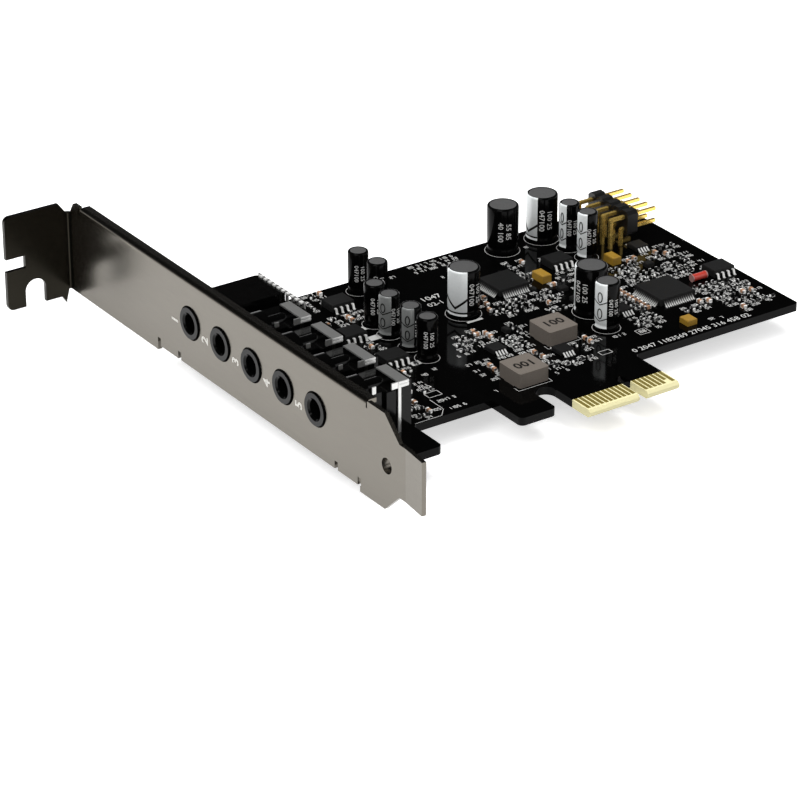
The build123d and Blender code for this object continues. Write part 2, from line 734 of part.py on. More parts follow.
def inductor(x, y):
    """A moulded power inductor on two end plates."""
    half = INDUCTOR_SIZE / 2
    body = span(x - half, x + half, y - half, y + half, INDUCTOR_STANDOFF, INDUCTOR_H)
    body = fillet(body.edges().filter_by(Axis.Z), INDUCTOR_R)
    for side in (-1, 1):
        near = x + side * half
        low, high = sorted((near, near - side * half / 2))
        body += span(low, high, y - INDUCTOR_PAD_W / 2, y + INDUCTOR_PAD_W / 2, 0, INDUCTOR_STANDOFF)
    return body


def header_housing():
    """The plastic body of the pin header, a row of eight-sided cells."""
    low = PIN_LOW_Z - PIN_PITCH / 2
    high = PIN_HIGH_Z + PIN_PITCH / 2
    body = None
    for column in range(PIN_COLUMN_COUNT):
        y = PIN_FIRST_Y + column * PIN_PITCH
        cell = span(
            HEADER_X - HEADER_T / 2, HEADER_X + HEADER_T / 2, y - PIN_PITCH / 2, y + PIN_PITCH / 2, low, high
        )
        cell = chamfer(cell.edges().filter_by(Axis.X), HEADER_CHAMFER)
        body = cell if body is None else body + cell
    for column in range(PIN_COLUMN_COUNT):
        y = PIN_FIRST_Y + column * PIN_PITCH
        for z in (PIN_LOW_Z, PIN_HIGH_Z):
            body -= span(
                HEADER_X - HEADER_T / 2,
                HEADER_X + HEADER_T / 2,
                y - PIN_SIZE / 2,
                y + PIN_SIZE / 2,
                z - PIN_SIZE / 2,
                z + PIN_SIZE / 2,
            )
    return body


def header_pins():
    """Ten square pins, each bent down once and through the board."""
    half = PIN_SIZE / 2
    pins = []
    for column in range(PIN_COLUMN_COUNT):
        y = PIN_FIRST_Y + column * PIN_PITCH
        for leg_x, z in ((OUTER_LEG_X, PIN_HIGH_Z), (INNER_LEG_X, PIN_LOW_Z)):
            pin = span(leg_x - half, PIN_TIP_X, y - half, y + half, z - half, z + half)
            pin += span(leg_x - half, leg_x + half, y - half, y + half, -BOARD_T - PIN_BELOW, z)
            pin = chamfer(edges_along(pin, Axis.Y, leg_x - half, z + half), half)
            pins.append(pin)
    return Compound(children=pins)


def block(x, y, length, width, height):
    """A small rectangular part lying on its pads."""
    body = span(x - length / 2, x + length / 2, y - width / 2, y + width / 2, 0, height)
    return chamfer(body.faces().sort_by(Axis.Z)[-1].edges(), BLOCK_CHAMFER)


def glass_diode():
    """A round diode lying along X with a metal cap at each end."""
    z = DIODE_CAP_D / 2
    x0 = DIODE_X - DIODE_LEN / 2
    x1 = DIODE_X + DIODE_LEN / 2
    body = rod(x0, x1, DIODE_Y, z, DIODE_D)
    body += rod(x0, x0 + DIODE_CAP, DIODE_Y, z, DIODE_CAP_D)
    body += rod(x1 - DIODE_CAP, x1, DIODE_Y, z, DIODE_CAP_D)
    return body


def chip_rows(rows, length, width, height):
    """Rows of chip parts lying on the board, along X or across."""
    chips = []
    for x0, y0, step_x, step_y, count, across in rows:
        half_x = (width if across else length) / 2
        half_y = (length if across else width) / 2
        for index in range(count):
            x = x0 + index * step_x
            y = y0 + index * step_y
            chips.append(span(x - half_x, x + half_x, y - half_y, y + half_y, 0, height))
    return Compound(children=chips)


def solder_joints():
    """Solder cones under the board at the capacitors' and jacks' leads."""
    joints = []
    spots = []
    for _, x, y, diameter, _ in CAPACITORS:
        for side in (-1, 1):
            spots.append((x + side * diameter * CAN_LEAD_SHARE, y))
    for index in range(JACK_COUNT):
        for side in (-1, 1):
            spots.append((JACK_REAR - JACK_LEG_INSET, jack_y(index) + side * JACK_LEG_INSET))
    for x, y in spots:
        joint = prism(x, y, -BOARD_T - JOINT_H, -BOARD_T, JOINT_D, JOINT_SIDES)
        tip = joint.faces().sort_by(Axis.Z)[0].edges()
        joints.append(chamfer(tip, JOINT_TAPER))
    return Compound(children=joints)


save(circuit_board(), "circuit_board")
save(edge_contacts(), "edge_contacts")
save(bracket(), "bracket")
save(bracket_screws(), "bracket_screws")
for number in range(JACK_COUNT):
    save(jack_housing(number), f"jack_housing_{number + 1}")
for number in range(1, JACK_COUNT):
    save(jack_terminal(number), f"jack_terminal_{number + 1}")
save(jack_comb(), "jack_comb")
for name, cap_x, cap_y, cap_d, cap_h in CAPACITORS:
    save(capacitor(cap_x, cap_y, cap_d, cap_h), name)
save(chip_body(CODEC_X, CODEC_Y, CODEC_SIZE, CODEC_SIZE, QFP_H), "codec_chip")
save(qfp_leads(CODEC_X, CODEC_Y, CODEC_SIZE, CODEC_LEAD_COUNT), "codec_leads")
save(
    chip_body(CONTROLLER_X, CONTROLLER_Y, CONTROLLER_SIZE, CONTROLLER_SIZE, QFP_H),
    "controller_chip",
)
save(
    qfp_leads(CONTROLLER_X, CONTROLLER_Y, CONTROLLER_SIZE, CONTROLLER_LEAD_COUNT),
    "controller_leads",
)
for name, chip_x, chip_y in SO_CHIPS:
    save(chip_body(chip_x, chip_y, SO_LENGTH, SO_WIDTH, SO_H), name)
so_lead = gull_lead(SO_REACH, CHIP_STANDOFF + SO_H / 2, SO_LEAD_W)
save(two_row_leads(SO_CHIPS, so_lead, SO_WIDTH, SO_LEAD_COUNT, SO_PITCH), "eight_pin_leads")
for name, chip_x, chip_y in SMALL_CHIPS:
    save(chip_body(chip_x, chip_y, SMALL_SIZE, SMALL_SIZE, SMALL_H), name)
small_lead = fine_lead(SMALL_REACH, CHIP_STANDOFF + SMALL_H / 2, SMALL_LEAD_W)
save(
    two_row_leads(SMALL_CHIPS, small_lead, SMALL_SIZE, SMALL_LEAD_COUNT, SMALL_PITCH),
    "regulator_leads",
)
for name, coil_x, coil_y in INDUCTORS:
    save(inductor(coil_x, coil_y), name)
save(header_housing(), "header_housing")
save(header_pins(), "header_pins")
for name, block_x, block_y, block_l, block_w, block_h in BLOCKS:
    save(block(block_x, block_y, block_l, block_w, block_h), name)
save(glass_diode(), "glass_diode")
save(chip_rows(RESISTOR_ROWS, CHIP_LEN, CHIP_W, CHIP_H), "chip_resistors")
save(chip_rows(CERAMIC_ROWS, CERAMIC_LEN, CERAMIC_W, CERAMIC_H), "chip_ceramics")
save(solder_joints(), "solder_joints")
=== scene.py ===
# Expansion sound card on a white table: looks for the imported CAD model, in metres, in the CAD's own frame.
import math
import random

import bmesh
import bpy
from mathutils import Matrix, Vector


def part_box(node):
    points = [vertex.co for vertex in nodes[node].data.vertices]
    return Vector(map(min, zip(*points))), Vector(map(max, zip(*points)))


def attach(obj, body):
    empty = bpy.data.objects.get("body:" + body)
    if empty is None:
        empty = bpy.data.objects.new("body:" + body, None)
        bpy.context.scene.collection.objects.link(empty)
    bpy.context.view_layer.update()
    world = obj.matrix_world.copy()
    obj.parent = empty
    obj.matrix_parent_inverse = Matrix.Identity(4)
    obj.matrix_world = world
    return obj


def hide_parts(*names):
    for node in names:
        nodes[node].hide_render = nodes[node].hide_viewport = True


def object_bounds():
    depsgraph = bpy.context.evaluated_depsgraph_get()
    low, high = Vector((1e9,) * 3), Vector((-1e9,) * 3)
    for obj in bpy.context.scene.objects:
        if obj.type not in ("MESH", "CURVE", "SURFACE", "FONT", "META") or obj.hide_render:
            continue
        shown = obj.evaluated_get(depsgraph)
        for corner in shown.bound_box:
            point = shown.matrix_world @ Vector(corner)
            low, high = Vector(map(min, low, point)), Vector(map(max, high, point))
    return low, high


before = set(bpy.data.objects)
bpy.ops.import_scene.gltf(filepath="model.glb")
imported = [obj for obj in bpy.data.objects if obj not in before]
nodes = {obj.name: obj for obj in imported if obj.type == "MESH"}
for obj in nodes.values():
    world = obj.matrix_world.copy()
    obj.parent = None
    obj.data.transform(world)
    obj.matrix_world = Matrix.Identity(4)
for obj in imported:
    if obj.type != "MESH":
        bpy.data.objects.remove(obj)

MM = 0.001
cad_low, cad_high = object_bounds()


# Colours and materials


def linear(code):
    """A linear colour from an sRGB hex value."""
    values = [int(code[i : i + 2], 16) / 255 for i in (1, 3, 5)]
    return tuple(v / 12.92 if v <= 0.04045 else ((v + 0.055) / 1.055) ** 2.4 for v in values) + (1.0,)


def add(tree, kind, settings=None, values=None, links=None):
    """A node with its settings, its socket values and the sockets that feed it."""
    node = tree.nodes.new(kind)
    for key, value in (settings or {}).items():
        setattr(node, key, value)
    for key, value in (values or {}).items():
        node.inputs[key].default_value = value
    for key, source in (links or {}).items():
        tree.links.new(source, node.inputs[key])
    return node


# Sockets of a Mix node that mixes colours: its factor, its two colours and its result.
MIX_FACTOR = 0
MIX_FIRST = 6
MIX_SECOND = 7
MIX_RESULT = 2
GRAIN_DETAIL = 3.0
GRAIN_LIFT = 0.6
# The grain makes a finish this much smoother in places, and this much rougher in others.
SMOOTHER = 0.85
ROUGHER = 1.2


def new_material(name, colour, roughness, metallic=0.0, specular=0.5):
    """A material with one Principled shader, returned with its tree and shader for more nodes."""
    made = bpy.data.materials.new(name)
    made.use_nodes = True
    tree = made.node_tree
    shader = tree.nodes["Principled BSDF"]
    shader.inputs["Base Color"].default_value = linear(colour)
    shader.inputs["Roughness"].default_value = roughness
    shader.inputs["Metallic"].default_value = metallic
    shader.inputs["Specular IOR Level"].default_value = specular
    return made, tree, shader


def grain(tree, shader, size_mm, depth_mm, low, high, stretch=(1.0, 1.0, 1.0)):
    """Noise of a real grain size that moves the roughness between two values and lifts the surface."""
    place = add(tree, "ShaderNodeTexCoord")
    scaled = add(
        tree,
        "ShaderNodeMapping",
        values={"Scale": stretch},
        links={"Vector": place.outputs["Object"]},
    )
    noise = add(
        tree,
        "ShaderNodeTexNoise",
        values={"Scale": 1 / (size_mm * MM), "Detail": GRAIN_DETAIL},
        links={"Vector": scaled.outputs["Vector"]},
    )
    spread = add(
        tree,
        "ShaderNodeMapRange",
        values={"To Min": low, "To Max": high},
        links={"Value": noise.outputs["Fac"]},
    )
    tree.links.new(spread.outputs["Result"], shader.inputs["Roughness"])
    bump = add(
        tree,
        "ShaderNodeBump",
        values={"Strength": GRAIN_LIFT, "Distance": depth_mm * MM},
        links={"Height": noise.outputs["Fac"]},
    )
    tree.links.new(bump.outputs["Normal"], shader.inputs["Normal"])
    return place, noise


def finish(
    name, colours, roughness, metallic=0.0, specular=0.5, size_mm=0.5, depth_mm=0.004, spread=(0.0, 1.0)
):
    """A material with a fine grain between two tones; a narrow spread of the noise tells them apart."""
    made, tree, shader = new_material(name, colours[0], roughness, metallic, specular)
    _, noise = grain(
        tree, shader, size_mm, depth_mm, roughness * SMOOTHER, min(1.0, roughness * ROUGHER)
    )
    share = add(
        tree,
        "ShaderNodeMapRange",
        values={"From Min": spread[0], "From Max": spread[1]},
        links={"Value": noise.outputs["Fac"]},
    )
    tone = add(
        tree,
        "ShaderNodeMix",
        {"data_type": "RGBA"},
        {MIX_FIRST: linear(colours[0]), MIX_SECOND: linear(colours[1])},
        {MIX_FACTOR: share.outputs["Result"]},
    )
    tree.links.new(tone.outputs[MIX_RESULT], shader.inputs["Base Color"])
    return made


# Zinc-plated steel of the screws: brighter and rougher than the bracket.
zinc = finish(
    "zinc_plated_steel", ("#B9B9B6", "#A5A5A2"), roughness=0.32, metallic=1.0, size_mm=0.3, depth_mm=0.002
)
# Moulded black nylon of the jacks: a soft gloss with faint flow marks.
nylon = finish("moulded_black_nylon", ("#030303", "#060606"), roughness=0.12, specular=0.15, size_mm=1.2)
# Tinned brass sheet: light grey and slightly cloudy.
tinned = finish(
    "tinned_brass_sheet", ("#D2D2D0", "#C4C4C2"),
    roughness=0.3, metallic=0.85, size_mm=1.5, depth_mm=0.0005,
)
# Bright solder-dipped leads: nearly white where a lamp finds them.
dipped = finish(
    "solder_dipped_lead", ("#F2F2F0", "#D8D8D6"), roughness=0.3, metallic=0.3, size_mm=0.3, depth_mm=0.002
)
# Epoxy moulding compound of the chips: matt charcoal with a fine sparkle.
epoxy = finish(
    "epoxy_moulding_compound", ("#141414", "#1C1C1C"),
    roughness=0.6, specular=0.22, size_mm=0.12, depth_mm=0.006,
)
# Pressed iron powder of the inductors: dull taupe with a sandy grain.
iron_powder = finish(
    "pressed_iron_powder", ("#6F6861", "#5E5852"),
    roughness=0.75, specular=0.15, size_mm=0.16, depth_mm=0.02,
)
# Glass-filled black plastic of the pin header.
pbt = finish(
    "glass_filled_pbt", ("#0B0B0B", "#131313"), roughness=0.35, specular=0.3, size_mm=0.2, depth_mm=0.006
)
# Hard gold over nickel, as on pins: warm, bright and sharp.
gold = finish(
    "gold_plated_bronze", ("#FFDC80", "#F8CE66"),
    roughness=0.16, metallic=0.78, size_mm=2.0, depth_mm=0.0002,
)
# Flash gold of the edge fingers, duller and greener over the rough copper.
finger_gold = finish(
    "immersion_gold_fingers", ("#A0904A", "#8B7D3E"),
    roughness=0.42, metallic=0.5, size_mm=0.2, depth_mm=0.003,
)
# Amber epoxy of the tantalum capacitors.
tantalum = finish("amber_epoxy", ("#A17D2D", "#876721"), roughness=0.35, size_mm=0.4)
# Tan ceramic of the chip capacitors.
ceramic = finish(
    "barium_titanate_ceramic", ("#B98E70", "#7E5F49"),
    roughness=0.5, specular=0.4, size_mm=1.4, spread=(0.35, 0.65),
)
# Black resistive glaze on alumina.
resistor_black = finish(
    "black_resistor_glaze", ("#0A0A0B", "#1A1A1C"), roughness=0.35, specular=0.35, size_mm=0.2
)
# Solder: bright, slightly frosted.
solder = finish(
    "tin_silver_solder", ("#E4E4E2", "#C6C6C4"),
    roughness=0.34, metallic=0.4, size_mm=0.25, depth_mm=0.006,
)
# White marking ink, printed flat on the board.
ink = finish(
    "white_marking_ink", ("#C8C8C6", "#AEAEAC"), roughness=0.6, specular=0.3, size_mm=0.15, depth_mm=0.002
)
# Pale lacquer print on the bracket.
bracket_print = finish(
    "white_pad_print", ("#DEDCD6", "#CFCDC7"), roughness=0.55, specular=0.3, size_mm=0.15, depth_mm=0.002
)
# Dark print on the inductors and on the light stripes.
dark_print = finish(
    "black_marking_ink", ("#0B0A09", "#141211"), roughness=0.6, specular=0.2, size_mm=0.15, depth_mm=0.002
)
# Bright white print of the black sleeves.
sleeve_print = finish(
    "white_sleeve_print", ("#E4E4E2", "#CFCFCD"),
    roughness=0.5, specular=0.3, size_mm=0.15, depth_mm=0.002,
)
# Tinned ends of the chip parts: bright on one, dulled to grey on the next.
chip_end = finish(
    "tinned_chip_end", ("#FBFBF9", "#2A2A29"),
    roughness=0.3, size_mm=0.8, depth_mm=0.002, spread=(0.42, 0.6),
)
# Drawn aluminium of the capacitor cans: a flat, dull grey lid.
can_metal = finish(
    "drawn_aluminium", ("#5C5C5C", "#525252"),
    roughness=0.5, metallic=0.3, specular=0.4, size_mm=0.3, depth_mm=0.003,
)
# Black PET sleeve, shrunk tight and glossy.
sleeve_black = finish(
    "shrunk_black_pet", ("#030303", "#060606"), roughness=0.12, specular=0.08, size_mm=1.5, depth_mm=0.002
)
# Pale silver printed stripe of a sleeve.
sleeve_stripe = finish(
    "silver_sleeve_print", ("#EEF1F1", "#DCE0E0"),
    roughness=0.3, metallic=0.1, size_mm=0.4, depth_mm=0.002,
)
# The duller grey stripe on the small cans by the amplifiers.
sleeve_grey = finish(
    "grey_sleeve_print", ("#858786", "#767877"), roughness=0.3, metallic=0.1, size_mm=0.4, depth_mm=0.002
)


# Where the painted reflection on the bracket's tab starts, and the size and strength of the faint clouds in
# its plating.
PAINTED_TAB_REFLECTION_Y = 101.9
CLOUD_MM = 22
CLOUD_SHARE = 0.25
ROLLING_STRETCH = (1.0, 0.08, 1.0)


def bracket_material():
    """Satin nickel over rolled steel: a soft grey metal with faint rolling lines along its length, and a
    painted dark reflection on the tab.
    """
    made, tree, shader = new_material("satin_nickel_plated_steel", "#706C65", 0.24, metallic=1.0)
    place, noise = grain(
        tree, shader, size_mm=0.5, depth_mm=0.0008, low=0.2, high=0.28, stretch=ROLLING_STRETCH
    )
    cloud = add(
        tree,
        "ShaderNodeTexNoise",
        values={"Scale": 1 / (CLOUD_MM * MM), "Detail": 1.0},
        links={"Vector": place.outputs["Object"]},
    )
    fine = add(
        tree,
        "ShaderNodeMix",
        {"data_type": "RGBA"},
        {MIX_FIRST: linear("#736F67"), MIX_SECOND: linear("#6D6962")},
        {MIX_FACTOR: noise.outputs["Fac"]},
    )
    soft = add(
        tree,
        "ShaderNodeMath",
        {"operation": "MULTIPLY"},
        {1: CLOUD_SHARE},
        {0: cloud.outputs["Fac"]},
    )
    sheet_tone = add(
        tree,
        "ShaderNodeMix",
        {"data_type": "RGBA"},
        {MIX_SECOND: linear("#5F5B55")},
        {MIX_FACTOR: soft.outputs[0], MIX_FIRST: fine.outputs[MIX_RESULT]},
    )
    # Painted reflection: the tab's colour is darkened to stand in for the dark room that its steel mirrors.
    parts = add(tree, "ShaderNodeSeparateXYZ", links={"Vector": place.outputs["Object"]})
    painted_tab_reflection = add(
        tree,
        "ShaderNodeMath",
        {"operation": "GREATER_THAN"},
        {1: PAINTED_TAB_REFLECTION_Y * MM},
        {0: parts.outputs["Y"]},
    )
    tone_with_painted_tab_reflection = add(
        tree,
        "ShaderNodeMix",
        {"data_type": "RGBA"},
        {MIX_SECOND: linear("#25231E")},
        {MIX_FACTOR: painted_tab_reflection.outputs[0], MIX_FIRST: sheet_tone.outputs[MIX_RESULT]},
    )
    tree.links.new(tone_with_painted_tab_reflection.outputs[MIX_RESULT], shader.inputs["Base Color"])
    return made


# How far each tinned cap reaches along the diode.
DIODE_CAP = 0.22


def diode_material():
    """Red lacquered glass with a tinned cap at each end."""
    made, tree, shader = new_material("red_lacquered_glass", "#A8352C", 0.18)
    place, _ = grain(tree, shader, size_mm=0.8, depth_mm=0.001, low=0.14, high=0.22)
    low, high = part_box("glass_diode")
    parts = add(tree, "ShaderNodeSeparateXYZ", links={"Vector": place.outputs["Object"]})
    away = add(
        tree,
        "ShaderNodeMath",
        {"operation": "SUBTRACT"},
        {1: (low.x + high.x) / 2},
        {0: parts.outputs["X"]},
    )
    reach = add(tree, "ShaderNodeMath", {"operation": "ABSOLUTE"}, links={0: away.outputs[0]})
    cap = add(
        tree,
        "ShaderNodeMath",
        {"operation": "GREATER_THAN"},
        {1: (high.x - low.x) / 2 - DIODE_CAP * MM},
        {0: reach.outputs[0]},
    )
    tone = add(
        tree,
        "ShaderNodeMix",
        {"data_type": "RGBA"},
        {MIX_FIRST: linear("#B03A30"), MIX_SECOND: linear("#94706C")},
        {MIX_FACTOR: cap.outputs[0]},
    )
    tree.links.new(tone.outputs[MIX_RESULT], shader.inputs["Base Color"])
    return made


# Heights over the board between which a jack spring turns from painted shade on its legs to bright tin.
SPRING_PAINTED_SHADE_Z = 8.7
SPRING_BRIGHT_Z = 9.0


def terminal_material():
    """Jack springs: tinned and bright on the flat plate at the top, with painted shade on the legs under it.
    """
    made, tree, shader = new_material("tin_spring_with_painted_shade", "#C8C8C6", 0.3, metallic=0.85)
    place, _ = grain(tree, shader, size_mm=1.5, depth_mm=0.0005, low=0.26, high=0.34)
    parts = add(tree, "ShaderNodeSeparateXYZ", links={"Vector": place.outputs["Object"]})
    top = add(
        tree,
        "ShaderNodeMapRange",
        values={"From Min": SPRING_PAINTED_SHADE_Z * MM, "From Max": SPRING_BRIGHT_Z * MM},
        links={"Value": parts.outputs["Z"]},
    )
    # The dark tone under the plate is painted shade for the tin legs down between the housings.
    tone = add(
        tree,
        "ShaderNodeMix",
        {"data_type": "RGBA"},
        {MIX_FIRST: linear("#2E2C29"), MIX_SECOND: linear("#CFCFCD")},
        {MIX_FACTOR: top.outputs["Result"]},
    )
    tree.links.new(tone.outputs[MIX_RESULT], shader.inputs["Base Color"])
    return made


# Heights over the board between which a chip lead turns from solder-bright to a painted dark reflection.
LEAD_BRIGHT_Z = 0.15
LEAD_DARK_Z = 0.75


def fine_lead_material():
    """Hair-thin chip leads: solder-bright feet, and shoulders painted dark as a painted reflection of the
    black package over them.
    """
    made, tree, shader = new_material("fine_tinned_lead", "#E8E8E6", 0.3, metallic=0.3)
    place, _ = grain(tree, shader, size_mm=0.3, depth_mm=0.002, low=0.26, high=0.36)
    parts = add(tree, "ShaderNodeSeparateXYZ", links={"Vector": place.outputs["Object"]})
    raised = add(
        tree,
        "ShaderNodeMapRange",
        values={"From Min": LEAD_BRIGHT_Z * MM, "From Max": LEAD_DARK_Z * MM},
        links={"Value": parts.outputs["Z"]},
    )
    # Painted reflection: the leads are darkened with height where they would mirror the black package.
    tone = add(
        tree,
        "ShaderNodeMix",
        {"data_type": "RGBA"},
        {MIX_FIRST: linear("#E8E8E6"), MIX_SECOND: linear("#3A3A39")},
        {MIX_FACTOR: raised.outputs["Result"]},
    )
    tree.links.new(tone.outputs[MIX_RESULT], shader.inputs["Base Color"])
    return made


# The solder mask stops at this height over the contact edge, to the right of the board's clip tab.
MASK_EDGE_Y = 5.25
TONGUE_LEFT_X = -12.6
MASK_ROUGHNESS = 0.08
BARE_ROUGHNESS = 0.5
# Millimetres: the mask's faint mottling, the pattern of tracks under it, and how far a track lifts it.
MOTTLE_MM = 3.0
TRACK_MM = 7.0
TRACK_LIFT_MM = 0.01


def board_material():
    """Black solder mask, and bare glass-epoxy at the edge connector."""
    # Photo-imaged mask: wet black gloss, with copper tracks that only just lift the surface.
    made, tree, shader = new_material("black_solder_mask", "#040404", MASK_ROUGHNESS, specular=0.07)
    place = add(tree, "ShaderNodeTexCoord")
    noise = add(
        tree,
        "ShaderNodeTexNoise",
        values={"Scale": 1 / (MOTTLE_MM * MM), "Detail": 2.0},
        links={"Vector": place.outputs["Object"]},
    )
    tracks = add(
        tree,
        "ShaderNodeTexBrick",
        {"offset": 0.37, "squash": 0.8},
        {
            "Scale": 1 / (TRACK_MM * MM),
            "Mortar Size": 0.016,
            "Mortar Smooth": 0.4,
            "Brick Width": 1.3,
            "Row Height": 0.21,
        },
        {"Vector": place.outputs["Object"]},
    )
    bump = add(
        tree,
        "ShaderNodeBump",
        values={"Strength": 0.06, "Distance": TRACK_LIFT_MM * MM},
        links={"Height": tracks.outputs["Fac"]},
    )
    tree.links.new(bump.outputs["Normal"], shader.inputs["Normal"])
    parts = add(tree, "ShaderNodeSeparateXYZ", links={"Vector": place.outputs["Object"]})
    below = add(
        tree,
        "ShaderNodeMath",
        {"operation": "LESS_THAN"},
        {1: MASK_EDGE_Y * MM},
        {0: parts.outputs["Y"]},
    )
    right = add(
        tree,
        "ShaderNodeMath",
        {"operation": "GREATER_THAN"},
        {1: TONGUE_LEFT_X * MM},
        {0: parts.outputs["X"]},
    )
    bare = add(
        tree,
        "ShaderNodeMath",
        {"operation": "MULTIPLY"},
        links={0: below.outputs[0], 1: right.outputs[0]},
    )
    mask_tone = add(
        tree,
        "ShaderNodeMix",
        {"data_type": "RGBA"},
        {MIX_FIRST: linear("#020202"), MIX_SECOND: linear("#040404")},
        {MIX_FACTOR: noise.outputs["Fac"]},
    )
    board_tone = add(
        tree,
        "ShaderNodeMix",
        {"data_type": "RGBA"},
        {MIX_SECOND: linear("#DDD6A8")},
        {MIX_FACTOR: bare.outputs[0], MIX_FIRST: mask_tone.outputs[MIX_RESULT]},
    )
    tree.links.new(board_tone.outputs[MIX_RESULT], shader.inputs["Base Color"])
    rough = add(
        tree,
        "ShaderNodeMapRange",
        values={"To Min": MASK_ROUGHNESS, "To Max": BARE_ROUGHNESS},
        links={"Value": bare.outputs[0]},
    )
    tree.links.new(rough.outputs["Result"], shader.inputs["Roughness"])
    return made


nickel = bracket_material()
fine_lead = fine_lead_material()
spring_with_painted_shade = terminal_material()
red_lacquer = diode_material()
solder_mask = board_material()

NODE_FINISH = {
    "circuit_board": solder_mask,
    "edge_contacts": finger_gold,
    "bracket": nickel,
    "bracket_screws": zinc,
    "jack_comb": tinned,
    "jack_terminal_5": tinned,
    "codec_chip": epoxy,
    "codec_leads": fine_lead,
    "controller_chip": epoxy,
    "controller_leads": fine_lead,
    "eight_pin_leads": dipped,
    "regulator_leads": dipped,
    "memory_chip": epoxy,
    "header_housing": pbt,
    "header_pins": gold,
    "crystal": tantalum,
    "glass_diode": red_lacquer,
    "chip_resistors": resistor_black,
    "chip_ceramics": ceramic,
    "solder_joints": solder,
}
PREFIX_FINISH = {
    "jack_housing": nylon,
    "jack_terminal": spring_with_painted_shade,
    "capacitor": sleeve_black,
    "amplifier": epoxy,
    "regulator": epoxy,
    "transistor": epoxy,
    "inductor": iron_powder,
    "tantalum": tantalum,
}


def finish_of(name):
    """The material of one CAD node."""
    if name in NODE_FINISH:
        return NODE_FINISH[name]
    return next(value for key, value in PREFIX_FINISH.items() if name.startswith(key))


for name, node in nodes.items():
    node.data.materials.clear()
    node.data.materials.append(finish_of(name))


# Piece makers

# How deep the print stands out of what it is printed on, in millimetres, on the sleeves and on the board.
INK_DEPTH = 0.02
BOARD_INK_DEPTH = 0.012
# Vertices of a CAD node this close, in metres, are one.
MERGE_DISTANCE = 1e-6


def settle(piece, slot_name, *replaced):
    """Hang a finished piece on the card's one body and hide the CAD nodes it replaces. The slot name is not
    used.
    """
    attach(piece, "root")
    if replaced:
        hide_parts(*replaced)
    return piece


def piece_from_bmesh(name, shape, *materials):
    """An object at the origin from a bmesh, with its materials in order."""
    mesh = bpy.data.meshes.new(name)
    shape.to_mesh(mesh)
    shape.free()
    for made in materials:
        mesh.materials.append(made)
    piece = bpy.data.objects.new(name, mesh)
    bpy.context.scene.collection.objects.link(piece)
    return piece


def turned(shape, centre, profile, sides):
    """A closed solid of revolution about an upright axis; profile is (radius, height) from foot to top."""
    rings = []
    for radius, height in profile:
        if radius == 0:
            rings.append([shape.verts.new((centre[0], centre[1], height))])
            continue
        ring = []
        for side in range(sides):
            angle = 2 * math.pi * side / sides
            x = centre[0] + radius * math.cos(angle)
            y = centre[1] + radius * math.sin(angle)
            ring.append(shape.verts.new((x, y, height)))
        rings.append(ring)
    made = []
    for level, (lower, upper) in enumerate(zip(rings, rings[1:])):
        for side in range(sides):
            following = (side + 1) % sides
            if len(lower) == 1:
                corners = (lower[0], upper[following], upper[side])
            elif len(upper) == 1:
                corners = (lower[side], lower[following], upper[0])
            else:
                corners = (lower[side], lower[following], upper[following], upper[side])
            face = shape.faces.new(corners)
            face.smooth = True
            made.append((level, side, face))
    return made


def block_tree():
    """Geometry nodes: a block on every point, turned by the point's own angle."""
    tree = bpy.data.node_groups.new("block_on_points", "GeometryNodeTree")
    sockets = {}
    sockets["Points"] = tree.interface.new_socket("Points", in_out="INPUT", socket_type="NodeSocketGeometry")
    for label in ("Length", "Width", "Height"):
        sockets[label] = tree.interface.new_socket(label, in_out="INPUT", socket_type="NodeSocketFloat")
    sockets["Finish"] = tree.interface.new_socket("Finish", in_out="INPUT", socket_type="NodeSocketMaterial")
    tree.interface.new_socket("Blocks", in_out="OUTPUT", socket_type="NodeSocketGeometry")
    given = add(tree, "NodeGroupInput")
    size = add(
        tree,
        "ShaderNodeCombineXYZ",
        links={"X": given.outputs["Length"], "Y": given.outputs["Width"], "Z": given.outputs["Height"]},
    )
    cube = add(tree, "GeometryNodeMeshCube", links={"Size": size.outputs["Vector"]})
    half = add(tree, "ShaderNodeMath", {"operation": "MULTIPLY"}, {1: 0.5}, {0: given.outputs["Height"]})
    raised = add(tree, "ShaderNodeCombineXYZ", links={"Z": half.outputs[0]})
    lifted = add(
        tree,
        "GeometryNodeTransform",
        links={"Geometry": cube.outputs["Mesh"], "Translation": raised.outputs["Vector"]},
    )
    angle = add(tree, "GeometryNodeInputNamedAttribute", {"data_type": "FLOAT"}, {"Name": "turn"})
    spin = add(tree, "ShaderNodeCombineXYZ", links={"Z": angle.outputs["Attribute"]})
    placed = add(
        tree,
        "GeometryNodeInstanceOnPoints",
        links={
            "Points": given.outputs["Points"],
            "Instance": lifted.outputs["Geometry"],
            "Rotation": spin.outputs["Vector"],
        },
    )
    real = add(tree, "GeometryNodeRealizeInstances", links={"Geometry": placed.outputs["Instances"]})
    dressed = add(
        tree,
        "GeometryNodeSetMaterial",
        links={"Geometry": real.outputs["Geometry"], "Material": given.outputs["Finish"]},
    )
    add(tree, "NodeGroupOutput", links={"Blocks": dressed.outputs["Geometry"]})
    return tree, sockets


BLOCKS, BLOCK_SOCKETS = block_tree()


